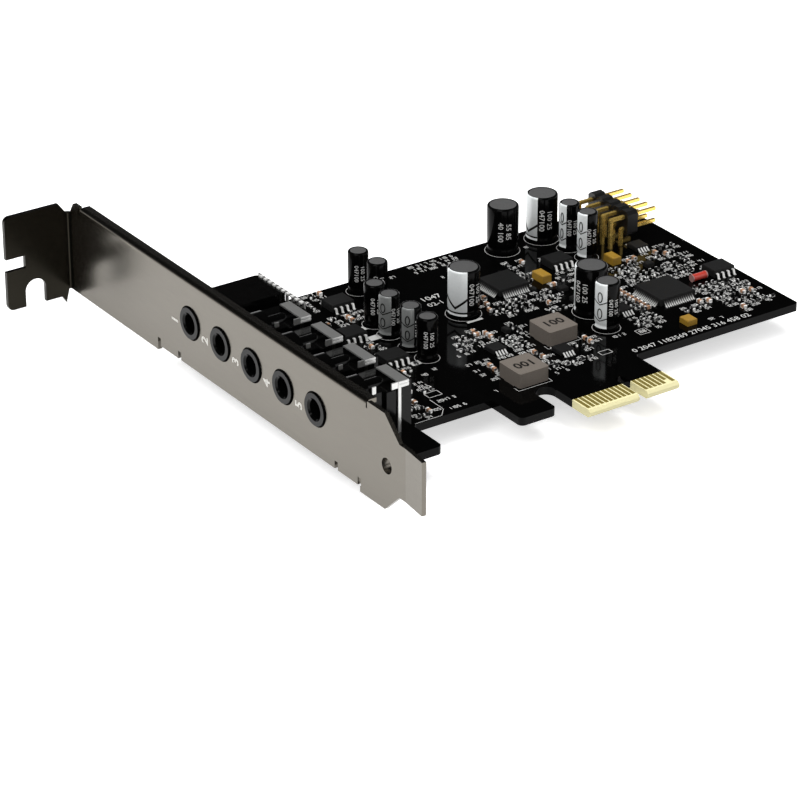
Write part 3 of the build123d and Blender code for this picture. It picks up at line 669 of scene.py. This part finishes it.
def blocks_on(name, points, size, made_of):
    """One mesh of equal blocks of (length, width, height) on (x, y, z, turn) points, in millimetres."""
    mesh = bpy.data.meshes.new(name + "_points")
    mesh.from_pydata([(x * MM, y * MM, z * MM) for x, y, z, _ in points], [], [])
    turn = mesh.attributes.new("turn", "FLOAT", "POINT")
    for index, point in enumerate(points):
        turn.data[index].value = point[3]
    carrier = bpy.data.objects.new(name + "_points", mesh)
    bpy.context.scene.collection.objects.link(carrier)
    modifier = carrier.modifiers.new("blocks", "NODES")
    modifier.node_group = BLOCKS
    for label, value in zip(("Length", "Width", "Height"), size):
        modifier[BLOCK_SOCKETS[label].identifier] = value * MM
    modifier[BLOCK_SOCKETS["Finish"].identifier] = made_of
    depsgraph = bpy.context.evaluated_depsgraph_get()
    grown = bpy.data.meshes.new_from_object(carrier.evaluated_get(depsgraph))
    grown.name = name
    carrier.modifiers.clear()
    bpy.data.objects.remove(carrier)
    piece = bpy.data.objects.new(name, grown)
    bpy.context.scene.collection.objects.link(piece)
    return piece


def word_mesh(text, size_mm, bold):
    """A line of plain characters as a thin closed mesh in XY; bold swells them by a share of their size."""
    curve = bpy.data.curves.new("characters", "FONT")
    curve.body = text
    curve.size = size_mm * MM
    curve.extrude = INK_DEPTH * MM / 2
    curve.offset = size_mm * MM * bold
    curve.align_x = "CENTER"
    curve.align_y = "CENTER"
    curve.resolution_u = 2
    carrier = bpy.data.objects.new("characters", curve)
    bpy.context.scene.collection.objects.link(carrier)
    depsgraph = bpy.context.evaluated_depsgraph_get()
    mesh = bpy.data.meshes.new_from_object(carrier.evaluated_get(depsgraph))
    bpy.data.objects.remove(carrier)
    return mesh


def strip(shape, points, width_mm, thick_mm, closed=False):
    """A thin closed ribbon in XY through (x, y) points in millimetres, one short block for each run."""
    pairs = list(zip(points, points[1:]))
    if closed:
        pairs.append((points[-1], points[0]))
    half = width_mm / 2
    for (x0, y0), (x1, y1) in pairs:
        run = math.hypot(x1 - x0, y1 - y0)
        ux, uy = (x1 - x0) / run, (y1 - y0) / run
        corners = []
        for end, side in ((0, -1), (0, 1), (1, 1), (1, -1)):
            bx = (x0 - ux * half) if end == 0 else (x1 + ux * half)
            by = (y0 - uy * half) if end == 0 else (y1 + uy * half)
            corners.append((bx + side * uy * half, by - side * ux * half))
        low = [shape.verts.new((x * MM, y * MM, 0)) for x, y in corners]
        high = [shape.verts.new((x * MM, y * MM, thick_mm * MM)) for x, y in corners]
        shape.faces.new(low)
        shape.faces.new(high[::-1])
        for index in range(4):
            following = (index + 1) % 4
            shape.faces.new((low[following], low[index], high[index], high[following]))
    bmesh.ops.recalc_face_normals(shape, faces=shape.faces)


def islands(name):
    """Middle and size of each separate block of a CAD node."""
    shape = bmesh.new()
    shape.from_mesh(nodes[name].data)
    bmesh.ops.remove_doubles(shape, verts=shape.verts, dist=MERGE_DISTANCE)
    seen = set()
    found = []
    for start in shape.verts:
        if start in seen:
            continue
        group, waiting = [], [start]
        seen.add(start)
        while waiting:
            vertex = waiting.pop()
            group.append(vertex.co.copy())
            for edge in vertex.link_edges:
                other = edge.other_vert(vertex)
                if other not in seen:
                    seen.add(other)
                    waiting.append(other)
        low = Vector(tuple(min(p[i] for p in group) for i in range(3)))
        high = Vector(tuple(max(p[i] for p in group) for i in range(3)))
        found.append(((low + high) / 2, high - low))
    shape.free()
    return found


# Electrolytic capacitors

CAN_SIDES = 48
SIDE_DEG = 360 / CAN_SIDES
# The can's side from the middle of its foot up, in millimetres: first the drawn-in foot, as a share of the
# radius with its height, then the crimped groove, as its depth with its height, and last the rolled rim and
# the edge of the sunk lid, as the distance in from the sleeve with the depth under the top.
FOOT_CURVE = ((0.82, 0.0), (0.93, 0.12), (0.99, 0.45))
GROOVE_CURVE = ((0.0, 0.8), (0.14, 1.1), (0.2, 1.3), (0.14, 1.5), (0.0, 1.8))
RIM_CURVE = ((0.0, 0.35), (0.08, 0.14), (0.26, 0.02), (0.42, 0.0), (0.5, 0.07))
# The stripe runs from the groove to the middle of the rim, two levels short of the lid.
STRIPE_LOW = 1 + len(FOOT_CURVE)
STRIPE_SHORT = 2
# Name: style of the mark, where the stripe's middle faces in degrees from +X, half its width in degrees.
STRIPES = {
    "capacitor_01": ("plain", 60, 26),
    "capacitor_02": ("plain", 60, 26),
    "capacitor_03": ("plain", 75, 26),
    "capacitor_04": ("ovals", 199, 45),
    "capacitor_05": ("ovals", 218, 38),
    "capacitor_06": ("plain", 75, 26),
    "capacitor_07": ("arrow", 204, 45),
    "capacitor_08": ("plain", 60, 40),
    "capacitor_09": ("arrow", 178, 41),
    "capacitor_10": ("ovals", 190, 30),
    "capacitor_11": ("ovals", 195, 34),
    "capacitor_12": ("plain", 140, 28),
    "capacitor_13": ("ovals", 198, 38),
}
GREY_STRIPE = ("capacitor_04", "capacitor_05")


def can(name, stripe_deg, stripe_half):
    """A sleeved can: drawn-in foot, crimped groove, rolled rim and a flat lid; the stripe is part of it."""
    low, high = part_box(name)
    centre = ((low.x + high.x) / 2, (low.y + high.y) / 2)
    r = (high.x - low.x) / 2
    top = high.z
    profile = [(0, 0.0)]
    profile += [(r * share, height * MM) for share, height in FOOT_CURVE]
    profile += [(r - inset * MM, height * MM) for inset, height in GROOVE_CURVE]
    profile += [(r - inset * MM, top - depth * MM) for inset, depth in RIM_CURVE]
    profile.append((0, profile[-1][1]))
    shape = bmesh.new()
    lid = len(profile) - 2
    for level, side, face in turned(shape, centre, profile, CAN_SIDES):
        angle = (side + 0.5) * SIDE_DEG
        away = abs((angle - stripe_deg + 180) % 360 - 180)
        if level == lid:
            face.material_index = 1
            face.smooth = False
        elif STRIPE_LOW <= level < lid - STRIPE_SHORT and away <= stripe_half:
            face.material_index = 2
    stripe = sleeve_grey if name in GREY_STRIPE else sleeve_stripe
    piece = piece_from_bmesh(name + "_can", shape, sleeve_black, can_metal, stripe)
    return settle(piece, "capacitor_sleeve", name)


# Long strokes are cut this often, and a cut that passes this close to a vertex, in metres, goes through it.
WRAP_STEP = 0.3
CUT_SNAP = 1e-8


def wrap(mesh, name, face_deg, height, lift_mm):
    """Roll a flat thin mesh round a can: its X goes round, its Y goes up, its Z stands out."""
    low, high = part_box(name)
    cx, cy = (low.x + high.x) / 2, (low.y + high.y) / 2
    r = (high.x - low.x) / 2
    # Long straight strokes are cut across first, or their middles would sink into the round can.
    shape = bmesh.new()
    shape.from_mesh(mesh)
    start = min(vertex.co.x for vertex in shape.verts)
    end = max(vertex.co.x for vertex in shape.verts)
    for cut in range(1, int((end - start) / (WRAP_STEP * MM)) + 1):
        whole = shape.verts[:] + shape.edges[:] + shape.faces[:]
        spot = (start + cut * WRAP_STEP * MM, 0, 0)
        bmesh.ops.bisect_plane(shape, geom=whole, dist=CUT_SNAP, plane_co=spot, plane_no=(1, 0, 0))
    shape.to_mesh(mesh)
    shape.free()
    for vertex in mesh.vertices:
        angle = math.radians(face_deg) + vertex.co.x / r
        out = r + lift_mm * MM + vertex.co.z
        vertex.co = Vector((cx + out * math.cos(angle), cy + out * math.sin(angle), height + vertex.co.y))


def oval_points(x, y, half_w, half_h):
    """Sixteen points round an upright oval."""
    return [
        (x + half_w * math.cos(math.pi * k / 8), y + half_h * math.sin(math.pi * k / 8)) for k in range(16)
    ]


MARK_LIFT = 0.01
# The long arrow: its tip as a share of the can's height, the slope of its arms, and the bar under it.
ARROW_TIP = 0.24
ARROW_SLOPE = 0.8
ARROW_LINE = 0.42
BAR_DROP = 0.9
BAR_LINE = 0.3
# The minus ovals and the chevrons under them, as shares of the stripe's half width and of the can's height.
OVAL_HEIGHTS = (0.38, 0.72)
OVAL_HALF_W = 0.3
OVAL_HALF_H = 0.1
CHEVRON_DROP = 0.15
CHEVRON_REACH = 0.95
CHEVRON_STEP = 0.075
MARK_LINE = 0.2


def stripe_marks(name, style, stripe_deg, stripe_half):
    """The minus ovals and chevrons, or the long arrow, printed dark on a stripe."""
    low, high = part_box(name)
    r_mm = (high.x - low.x) / 2 / MM
    tall = high.z / MM
    half = math.radians(stripe_half) * r_mm
    shape = bmesh.new()
    if style == "arrow":
        tip = tall * ARROW_TIP
        arms = [(k / 16 * half, tip + abs(k / 16) * half * ARROW_SLOPE) for k in range(-16, 17)]
        strip(shape, arms, ARROW_LINE, INK_DEPTH)
        bar = [(k * half / 12, tip - BAR_DROP) for k in range(-12, 13)]
        strip(shape, bar, BAR_LINE, INK_DEPTH)
    else:
        for share in OVAL_HEIGHTS:
            middle = tall * share
            oval = oval_points(0, middle, half * OVAL_HALF_W, tall * OVAL_HALF_H)
            strip(shape, oval, MARK_LINE, INK_DEPTH, True)
            point = middle - tall * CHEVRON_DROP
            arms = [
                (k / 9 * half * CHEVRON_REACH, point + abs(k) * CHEVRON_STEP) for k in range(-9, 10)
            ]
            strip(shape, arms, MARK_LINE, INK_DEPTH)
    piece = piece_from_bmesh(name + "_stripe_marks", shape, dark_print)
    wrap(piece.data, name, stripe_deg, 0.0, MARK_LIFT)
    settle(piece, "capacitor_sleeve")


DIGIT_LIFT = 0.012
# The next line's distance as a share of the digits' size, and the lines' middle as one of the can's height.
DIGIT_LINE_STEP = 1.05
DIGIT_MIDDLE = 0.52


def sleeve_digits(name, lines, face_deg, size_mm):
    """Plain digits that run down the sleeve, one line beside the next."""
    low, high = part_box(name)
    r = (high.x - low.x) / 2
    whole = bmesh.new()
    for index, text in enumerate(lines):
        mesh = word_mesh(text, size_mm, 0.0)
        mesh.transform(Matrix.Rotation(math.radians(-90), 4, "Z"))
        step = math.degrees(size_mm * MM * DIGIT_LINE_STEP / r)
        wrap(mesh, name, face_deg + index * step, high.z * DIGIT_MIDDLE, DIGIT_LIFT)
        whole.from_mesh(mesh)
        bpy.data.meshes.remove(mesh)
    settle(piece_from_bmesh(name + "_digits", whole, sleeve_print), "capacitor_sleeve")


USUAL_DIGITS = ("047100", "100 25")
DIGITS = {"capacitor_08": ("40 100", "55 85")}
LARGE_CAN = 5.5
LARGE_DIGIT = 1.5
SMALL_DIGIT = 1.15
# Degrees from a stripe's edge round to the digits, and where they face on a can whose stripe looks away.
STRIPE_TO_DIGITS = 14
FRONT_DIGITS = 226
SIDE_STRIPE = "capacitor_12"
for name, (style, stripe_deg, stripe_half) in STRIPES.items():
    can(name, stripe_deg, stripe_half)
    if style != "plain":
        stripe_marks(name, style, stripe_deg, stripe_half)
    low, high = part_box(name)
    digit = LARGE_DIGIT if (high.x - low.x) > LARGE_CAN * MM else SMALL_DIGIT
    facing = FRONT_DIGITS
    if style != "plain" or name == SIDE_STRIPE:
        facing = stripe_deg + stripe_half + STRIPE_TO_DIGITS
    sleeve_digits(name, DIGITS.get(name, USUAL_DIGITS), facing, digit)


# Chip parts: metal ends, solder and the small printed numbers beside them

random.seed(4)
QUARTER_TURN = math.pi / 2
# Nodes that print may lie over, and the gap that print keeps to every other node.
UNDER_PRINT = ("circuit_board", "edge_contacts", "bracket", "solder_joints")
NODE_GAP = 0.2
# Nodes of many separate small pieces, with the gap that print keeps to each piece.
PIECE_GAPS = {"chip_resistors": 0.12, "chip_ceramics": 0.12, "eight_pin_leads": 0.1, "regulator_leads": 0.1}
# The part of the board that print may use: lowest and highest x, lowest and highest y.
PRINT_AREA = (-40.6, 46.8, 13.6, 68.5)
occupied = []


def keep_clear(x0, x1, y0, y1, gap):
    """Keep print off a rectangle and off the gap round it."""
    occupied.append((x0 - gap, x1 + gap, y0 - gap, y1 + gap))


def free_spot(x, y, half_x, half_y):
    """Whether a flat mark fits on the board clear of every part."""
    left, right, front, back = PRINT_AREA
    if x - half_x < left or x + half_x > right or y - half_y < front or y + half_y > back:
        return False
    return not any(
        x + half_x > x0 and x - half_x < x1 and y + half_y > y0 and y - half_y < y1
        for x0, x1, y0, y1 in occupied
    )


for name in nodes:
    if name in UNDER_PRINT or name in PIECE_GAPS:
        continue
    low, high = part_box(name)
    keep_clear(low.x / MM, high.x / MM, low.y / MM, high.y / MM, NODE_GAP)
for name, gap in PIECE_GAPS.items():
    for middle, size in islands(name):
        cx, cy = middle.x / MM, middle.y / MM
        half_x, half_y = size.x / MM / 2, size.y / MM / 2
        keep_clear(cx - half_x, cx + half_x, cy - half_y, cy + half_y, gap)


def beside(middle, along_x, along, across):
    """A point so far along a chip part and so far across it from its middle, turned as the part is."""
    x, y = middle.x / MM, middle.y / MM
    if along_x:
        return (x + along, y + across, 0, 0.0)
    return (x + across, y + along, 0, QUARTER_TURN)


# Name, share of the part's length that each metal end takes, material slot.
CHIP_PARTS = (("chip_resistors", 0.15, "resistor_body"), ("chip_ceramics", 0.2, "ceramic_body"))
# Some parts have a printed line on one side, some on both and some have none.
LINE_SIDES = ((), (-1,), (1,), (-1, 1))
LINE_GAP = 0.15
LINE_SIZE = (0.7, 0.1, BOARD_INK_DEPTH)
FILLET_REACH = 0.05
FILLET_SIZE = (0.1, 0.36, 0.05)
# How far an end cap stands proud of its part: at the end, over both sides together, and on top.
CAP_END = 0.01
CAP_SIDES = 0.01
CAP_TOP = 0.008
fillets = []
part_lines = []
for name, cap_share, slot_name in CHIP_PARTS:
    ends = []
    for middle, size in islands(name):
        along_x = size.x > size.y
        length, width = max(size.x, size.y) / MM, min(size.x, size.y) / MM
        for side in random.choice(LINE_SIDES):
            part_lines.append(beside(middle, along_x, 0, side * (width / 2 + LINE_GAP)))
        for side in (-1, 1):
            reach = side * (length / 2 - length * cap_share / 2 + CAP_END)
            ends.append(beside(middle, along_x, reach, 0))
            fillets.append(beside(middle, along_x, side * (length / 2 + FILLET_REACH), 0))
    cap = (length * cap_share + 2 * CAP_END, width + CAP_SIDES, size.z / MM + CAP_TOP)
    settle(blocks_on(name + "_end_caps", ends, cap, chip_end), slot_name)
settle(blocks_on("chip_part_fillets", fillets, FILLET_SIZE, chip_end), "solder")
settle(blocks_on("part_lines", part_lines, LINE_SIZE, ink), "solder_mask")

# Segments of a plain block numeral: (x, y, upright) in units of half its height.
SEGMENTS = {
    "a": (0.0, 2.0, False),
    "b": (0.5, 1.5, True),
    "c": (0.5, 0.5, True),
    "d": (0.0, 0.0, False),
    "e": (-0.5, 0.5, True),
    "f": (-0.5, 1.5, True),
    "g": (0.0, 1.0, False),
}
NUMERALS = {
    "0": "abcdef",
    "1": "bc",
    "2": "abged",
    "3": "abgcd",
    "4": "fgbc",
    "5": "afgcd",
    "6": "afgedc",
    "7": "abc",
    "8": "abcdefg",
    "9": "abfgcd",
}
# The height of a numeral, and as shares of it the pitch of the numerals and half of one's width.
SMALL_PRINT = 0.8
NUMERAL_PITCH = 0.82
NUMERAL_HALF = 0.42
STROKE_SIZE = (SMALL_PRINT / 2, 0.13, BOARD_INK_DEPTH)
PRINT_CLEAR = 0.5
# A part under this size gets a number: over it, under it or beside it, at these distances.
SMALL_PART = 2
OVER_PART = 0.55
BESIDE_PART = 0.1
printed = []


def number_strokes(text, x, y):
    """Strokes of a number whose middle is at (x, y), in block numerals."""
    unit = SMALL_PRINT / 2
    strokes = []
    for index, character in enumerate(text):
        if character == " ":
            continue
        cx = (index - (len(text) - 1) / 2) * (SMALL_PRINT * NUMERAL_PITCH)
        for segment in NUMERALS[character]:
            sx, sy, upright = SEGMENTS[segment]
            turn = QUARTER_TURN if upright else 0.0
            strokes.append((x + (cx + sx * unit), y + (sy - 1) * unit, 0, turn))
    return strokes


def print_number(text, x, y):
    """Print a number if its place is free, keep later print off it, and say whether it was printed."""
    half_w = len(text) * SMALL_PRINT * NUMERAL_HALF
    if not free_spot(x, y, half_w, SMALL_PRINT / 2):
        return False
    printed.extend(number_strokes(text, x, y))
    occupied.append((x - half_w, x + half_w, y - PRINT_CLEAR, y + PRINT_CLEAR))
    return True


for x0, x1, y0, y1 in list(occupied):
    if x1 - x0 > SMALL_PART or y1 - y0 > SMALL_PART:
        continue
    number = str(random.randint(11, 289))
    aside = len(number) * SMALL_PRINT * NUMERAL_HALF + BESIDE_PART
    for px, py in (
        ((x0 + x1) / 2, y1 + OVER_PART),
        ((x0 + x1) / 2, y0 - OVER_PART),
        (x1 + aside, (y0 + y1) / 2),
        (x0 - aside, (y0 + y1) / 2),
    ):
        if print_number(number, px, py):
            break
# Free-standing numbers where the board has room: text, x, y.
for text, x, y in (
    ("27 25 24", -17.4, 27.0),
    ("31", -19.6, 24.3),
    ("32", -19.6, 22.3),
    ("29", -18.9, 19.8),
    ("14", -13.6, 38.6),
    ("40", -28.2, 28.4),
    ("12", -25.6, 29.3),
    ("214", -31.2, 26.3),
    ("221", -31.2, 24.9),
    ("2047 3", -30.5, 18.3),
    ("1185 6", -30.5, 14.9),
    ("7", -21.4, 15.7),
    ("5", -8.0, 15.4),
    ("6", -5.6, 15.4),
    ("60", 5.6, 22.1),
    ("33", 18.2, 61.4),
    ("18", 19.4, 62.6),
    ("101 2", 10.6, 21.3),
    ("35", 19.0, 20.1),
    ("92", 29.3, 17.2),
    ("7", 31.3, 16.6),
    ("41", 43.9, 38.6),
    ("8", 43.9, 26.6),
    ("44", -6.8, 43.9),
    ("20 31 7 45 118 6", 0.3, 67.6),
    ("118 2 70 5 14 22", 0.6, 66.3),
    ("9 41 306 12 8 77", 0.2, 65.0),
    ("27", -9.6, 66.0),
    ("4 13 2 90", 16.2, 56.8),
    ("15 8 22", -12.4, 47.2),
    ("331 4", -31.0, 23.4),
    ("0 27 1", -27.0, 13.9),
    ("6 16", -17.8, 31.0),
    ("12 3", 41.2, 55.0),
    ("81 5 2", 38.8, 62.4),
    ("7 19", 25.4, 63.8),
    ("2", -1.6, 60.6),
):
    print_number(text, x, y)
settle(blocks_on("small_numbers", printed, STROKE_SIZE, ink), "solder_mask")

PRINT_LINE = 0.11
RING_GAP = 0.35
COIL_GAP_X = 0.45
COIL_GAP_Y = 0.35
COIL_CORNER = 1.4
# The bevelled line by the last jack.
JACK_LINE = ((-40.6, 13.5), (-34.9, 13.5), (-33.2, 15.4), (-33.2, 19.6))
# Solid bars and hollow frames: middle in x and y, width, height.
BARS = ((-7.6, 41.6, 2.8, 0.7), (-27.2, 50.6, 0.5, 1.5), (-27.2, 46.2, 0.6, 1.8), (-26.9, 33.2, 0.5, 1.5))
FRAMES = ((-31.4, 21.2, 2.8, 1.8), (4.4, 17.2, 2.4, 1.4), (15.4, 20.2, 2.4, 2.0), (-12.6, 66.0, 1.4, 1.4))


def printed_lines():
    """Lines on the board: rings round the cans, corner marks round the coils, bars and small frames."""
    shape = bmesh.new()
    for name in STRIPES:
        low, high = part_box(name)
        cx, cy = (low.x + high.x) / 2 / MM, (low.y + high.y) / 2 / MM
        r = (high.x - low.x) / 2 / MM + RING_GAP
        ring = [
            (cx + r * math.cos(math.pi * k / 16), cy + r * math.sin(math.pi * k / 16)) for k in range(32)
        ]
        strip(shape, ring, PRINT_LINE, BOARD_INK_DEPTH, True)
    for name in ("inductor_1", "inductor_2"):
        low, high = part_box(name)
        x0, x1 = low.x / MM - COIL_GAP_X, high.x / MM + COIL_GAP_X
        y0, y1 = low.y / MM - COIL_GAP_Y, high.y / MM + COIL_GAP_Y
        for y, inward in ((y0, y0 + COIL_CORNER), (y1, y1 - COIL_CORNER)):
            strip(shape, [(x0, inward), (x0, y), (x1, y), (x1, inward)], PRINT_LINE, BOARD_INK_DEPTH)
    strip(shape, JACK_LINE, PRINT_LINE, BOARD_INK_DEPTH)
    for x, y, w, h in BARS:
        strip(shape, [(x - w / 2, y), (x + w / 2, y)], h, BOARD_INK_DEPTH)
    for x, y, w, h in FRAMES:
        left, right, front, back = x - w / 2, x + w / 2, y - h / 2, y + h / 2
        corners = [(left, front), (right, front), (right, back), (left, back)]
        strip(shape, corners, PRINT_LINE, BOARD_INK_DEPTH, True)
    settle(piece_from_bmesh("printed_outlines", shape, ink), "solder_mask")


printed_lines()


# The bright teeth on top of the comb behind the first jack

TOOTH_PITCH = 1.5
TOOTH_SIZE = (0.72, 0.8, 0.3)
TOOTH_DROP = 0.28
TOOTH_FORWARD = 0.1
comb_low, comb_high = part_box("jack_comb")
teeth = []
for k in range(int((comb_high.y - comb_low.y) / MM / TOOTH_PITCH)):
    y = comb_low.y / MM + (k + 0.5) * TOOTH_PITCH
    teeth.append((comb_low.x / MM - TOOTH_FORWARD, y, comb_high.z / MM - TOOTH_DROP, 0.0))
settle(blocks_on("comb_teeth", teeth, TOOTH_SIZE, dipped), "lead_metal")


# The bright folded end of each jack's plate: two thin edges with a dark slit between them

EDGE_DROPS = (0.4, 0.95)
EDGE_SIZE = (2.2, 0.1, 0.34)
EDGE_PROUD = 0.03
PLATE_X = -43.9
edges = []
for number in (2, 3, 4, 5):
    low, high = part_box("jack_terminal_" + str(number))
    for drop in EDGE_DROPS:
        edges.append((PLATE_X, low.y / MM - EDGE_PROUD, high.z / MM - drop, 0.0))
settle(blocks_on("terminal_edges", edges, EDGE_SIZE, dipped), "lead_metal")


# Marks on the board, the coils and the bracket


def flat_word(name, text, size_mm, place, made_of, slot_name, bold=0.02):
    """Characters laid flat at a place given by a matrix."""
    mesh = word_mesh(text, size_mm, bold)
    mesh.transform(place)
    mesh.materials.clear()
    mesh.materials.append(made_of)
    piece = bpy.data.objects.new(name, mesh)
    bpy.context.scene.collection.objects.link(piece)
    return settle(piece, slot_name)


# The larger numbers on the board: text, middle in x and y, size.
BOARD_NUMBERS = (
    ("1047", -8.8, 54.3, 2.3),
    ("02-1", -9.4, 51.7, 2.0),
    ("0 2047 1183569 27045 316 458 02", 22.6, 14.6, 1.95),
    ("88", 15.4, 20.2, 1.6),
)
WORD_LIFT = 0.012
for index, (text, x, y, size_mm) in enumerate(BOARD_NUMBERS):
    place = Matrix.Translation(Vector((x, y, WORD_LIFT)) * MM)
    flat_word("board_number_" + str(index + 1), text, size_mm, place, ink, "solder_mask", 0.0)

# The coils' value, upright on one coil and turned round on the other.
COIL_DIGIT = 3.0
COIL_LIFT = 0.006
for name, turn in (("inductor_1", 0), ("inductor_2", math.pi)):
    low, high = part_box(name)
    middle = Vector(((low.x + high.x) / 2, (low.y + high.y) / 2, high.z + COIL_LIFT * MM))
    place = Matrix.Translation(middle) @ Matrix.Rotation(turn, 4, "Z")
    flat_word(name + "_value", "100", COIL_DIGIT, place, dark_print, "inductor_ferrite")

# The bracket's face, the jack nearest its tab and the distance from jack to jack.
FACE_X = -59.05
FACE_LIFT = 0.008
JACK_HIGH_Y = 59.0
JACK_PITCH = 10.4
JACK_DIGIT = 3.0
# A jack's number stands this far up the bracket from the jack, and this far over the board.
NUMBER_UP = 5.3
NUMBER_Z = 5.2
# Columns are the reading direction (+Z), the characters' up (+Y) and the way they stand out (-X).
UPRIGHT = Matrix(((0, 0, -1, 0), (0, 1, 0, 0), (1, 0, 0, 0), (0, 0, 0, 1)))
for index, number in enumerate("12345"):
    y = JACK_HIGH_Y - index * JACK_PITCH
    place = Matrix.Translation(Vector((FACE_X - FACE_LIFT, y + NUMBER_UP, NUMBER_Z)) * MM) @ UPRIGHT
    flat_word("jack_number_" + number, number, JACK_DIGIT, place, bracket_print, "bracket_steel")


# Camera, floor and light

# The photograph's camera, solved from the card's own standard sizes: place, aim, focal length, frame and
# how near and far it sees, in metres.
CAMERA_PLACE = (-365.855, -455.224, 296.504)
CAMERA_YAW_DEG = 34.486
CAMERA_DROP_DEG = 27.087
FOCAL_PIXELS = 3640.77
FRAME_PIXELS = 800
SENSOR_MM = 36.0
CLIP_START = 0.01
CLIP_END = 20
# Sines of the elevations between which the mirrored studio turns from white to dark.
SWEEP_TOP = 0.1
CEILING_START = 0.34
CEILING_LIGHT = 0.015
FILL_LIGHT = 0.35
# The table: half its side in metres, the gap under the card in millimetres, and its own light.
TABLE_REACH = 4.0
TABLE_GAP = 0.1
TABLE_GLOW = 0.6
# Lamps: name, place, width and depth in metres, watts, and whether polished metal mirrors it. The last two
# light the tops only: the polished bend of the bracket would show them as white lines.
LAMP_AIM = (0, 0.03, 0)
LAMPS = (
    ("key", (-0.55, -0.25, 0.6), (0.5, 0.5), 3.2, True),
    ("fill", (0.45, -0.65, 0.5), (0.6, 0.4), 1.2, True),
    ("back", (-0.35, 0.75, 0.55), (0.7, 0.3), 3.0, False),
    ("over", (0.05, 0.1, 0.9), (0.6, 0.6), 6.0, False),
)


def set_camera():
    """The photograph's camera."""
    yaw, drop = math.radians(CAMERA_YAW_DEG), math.radians(CAMERA_DROP_DEG)
    forward = Vector((math.sin(yaw) * math.cos(drop), math.cos(yaw) * math.cos(drop), -math.sin(drop)))
    data = bpy.data.cameras.new("camera")
    data.sensor_width = SENSOR_MM
    data.lens = SENSOR_MM * FOCAL_PIXELS / FRAME_PIXELS
    data.clip_start = CLIP_START
    data.clip_end = CLIP_END
    camera = bpy.data.objects.new("camera", data)
    camera.location = Vector(CAMERA_PLACE) * MM
    camera.rotation_mode = "QUATERNION"
    camera.rotation_quaternion = forward.to_track_quat("-Z", "Y")
    bpy.context.scene.collection.objects.link(camera)
    bpy.context.scene.camera = camera


def area_light(name, place, size, power, mirrored):
    """A soft rectangular lamp that looks at the card."""
    data = bpy.data.lights.new(name, "AREA")
    data.shape = "RECTANGLE"
    data.size, data.size_y = size
    data.energy = power
    lamp = bpy.data.objects.new(name, data)
    lamp.location = place
    lamp.rotation_mode = "QUATERNION"
    lamp.rotation_quaternion = (Vector(LAMP_AIM) - Vector(place)).to_track_quat("-Z", "Y")
    lamp.visible_glossy = mirrored
    bpy.context.scene.collection.objects.link(lamp)


def white_floor():
    """A pale table that is white to the camera, with the card's soft shadow on it."""
    shape = bmesh.new()
    level = cad_low.z - TABLE_GAP * MM
    corners = ((-1, -1), (1, -1), (1, 1), (-1, 1))
    shape.faces.new([shape.verts.new((x * TABLE_REACH, y * TABLE_REACH, level)) for x, y in corners])
    made, tree, shader = new_material("matt_white_table", "#E8E8E8", 0.9, specular=0.1)
    path = add(tree, "ShaderNodeLightPath")
    glossy = add(
        tree,
        "ShaderNodeMath",
        {"operation": "MAXIMUM"},
        links={0: path.outputs["Is Glossy Ray"], 1: path.outputs["Is Transmission Ray"]},
    )
    seen = add(
        tree,
        "ShaderNodeMath",
        {"operation": "MAXIMUM"},
        links={0: path.outputs["Is Camera Ray"], 1: glossy.outputs[0]},
    )
    glow = add(tree, "ShaderNodeEmission", values={"Color": linear("#FFFFFF")})
    lift = add(tree, "ShaderNodeMath", {"operation": "MULTIPLY"}, {1: TABLE_GLOW}, {0: seen.outputs[0]})
    tree.links.new(lift.outputs[0], glow.inputs["Strength"])
    both = add(
        tree,
        "ShaderNodeAddShader",
        links={0: shader.outputs["BSDF"], 1: glow.outputs["Emission"]},
    )
    tree.links.new(both.outputs["Shader"], tree.nodes["Material Output"].inputs["Surface"])
    floor = piece_from_bmesh("table", shape, made)


def set_world():
    """A white sweep low down, and a dark ceiling over it that leaves the black board black."""
    world = bpy.data.worlds.new("studio")
    bpy.context.scene.world = world
    world.use_nodes = True
    tree = world.node_tree
    tree.nodes.clear()
    place = add(tree, "ShaderNodeTexCoord")
    parts = add(tree, "ShaderNodeSeparateXYZ", links={"Vector": place.outputs["Generated"]})
    level = add(
        tree,
        "ShaderNodeMapRange",
        {"interpolation_type": "SMOOTHSTEP"},
        {"From Min": SWEEP_TOP, "From Max": CEILING_START, "To Min": 1.0, "To Max": CEILING_LIGHT},
        {"Value": parts.outputs["Z"]},
    )
    white = add(tree, "ShaderNodeBackground", values={"Color": linear("#FFFFFF"), "Strength": 1.0})
    room = add(
        tree,
        "ShaderNodeBackground",
        values={"Color": linear("#FFFFFF")},
        links={"Strength": level.outputs["Result"]},
    )
    fill = add(tree, "ShaderNodeBackground", values={"Color": linear("#FFFFFF"), "Strength": FILL_LIGHT})
    path = add(tree, "ShaderNodeLightPath")
    mirrored = add(
        tree,
        "ShaderNodeMixShader",
        links={
            0: path.outputs["Is Glossy Ray"],
            1: fill.outputs["Background"],
            2: room.outputs["Background"],
        },
    )
    seen = add(
        tree,
        "ShaderNodeMath",
        {"operation": "MAXIMUM"},
        links={0: path.outputs["Is Camera Ray"], 1: path.outputs["Is Transmission Ray"]},
    )
    whole = add(
        tree,
        "ShaderNodeMixShader",
        links={0: seen.outputs[0], 1: mirrored.outputs["Shader"], 2: white.outputs["Background"]},
    )
    add(tree, "ShaderNodeOutputWorld", links={"Surface": whole.outputs["Shader"]})


set_camera()
white_floor()
set_world()
for lamp in LAMPS:
    area_light(*lamp)

bpy.context.scene.view_settings.view_transform = "Standard"
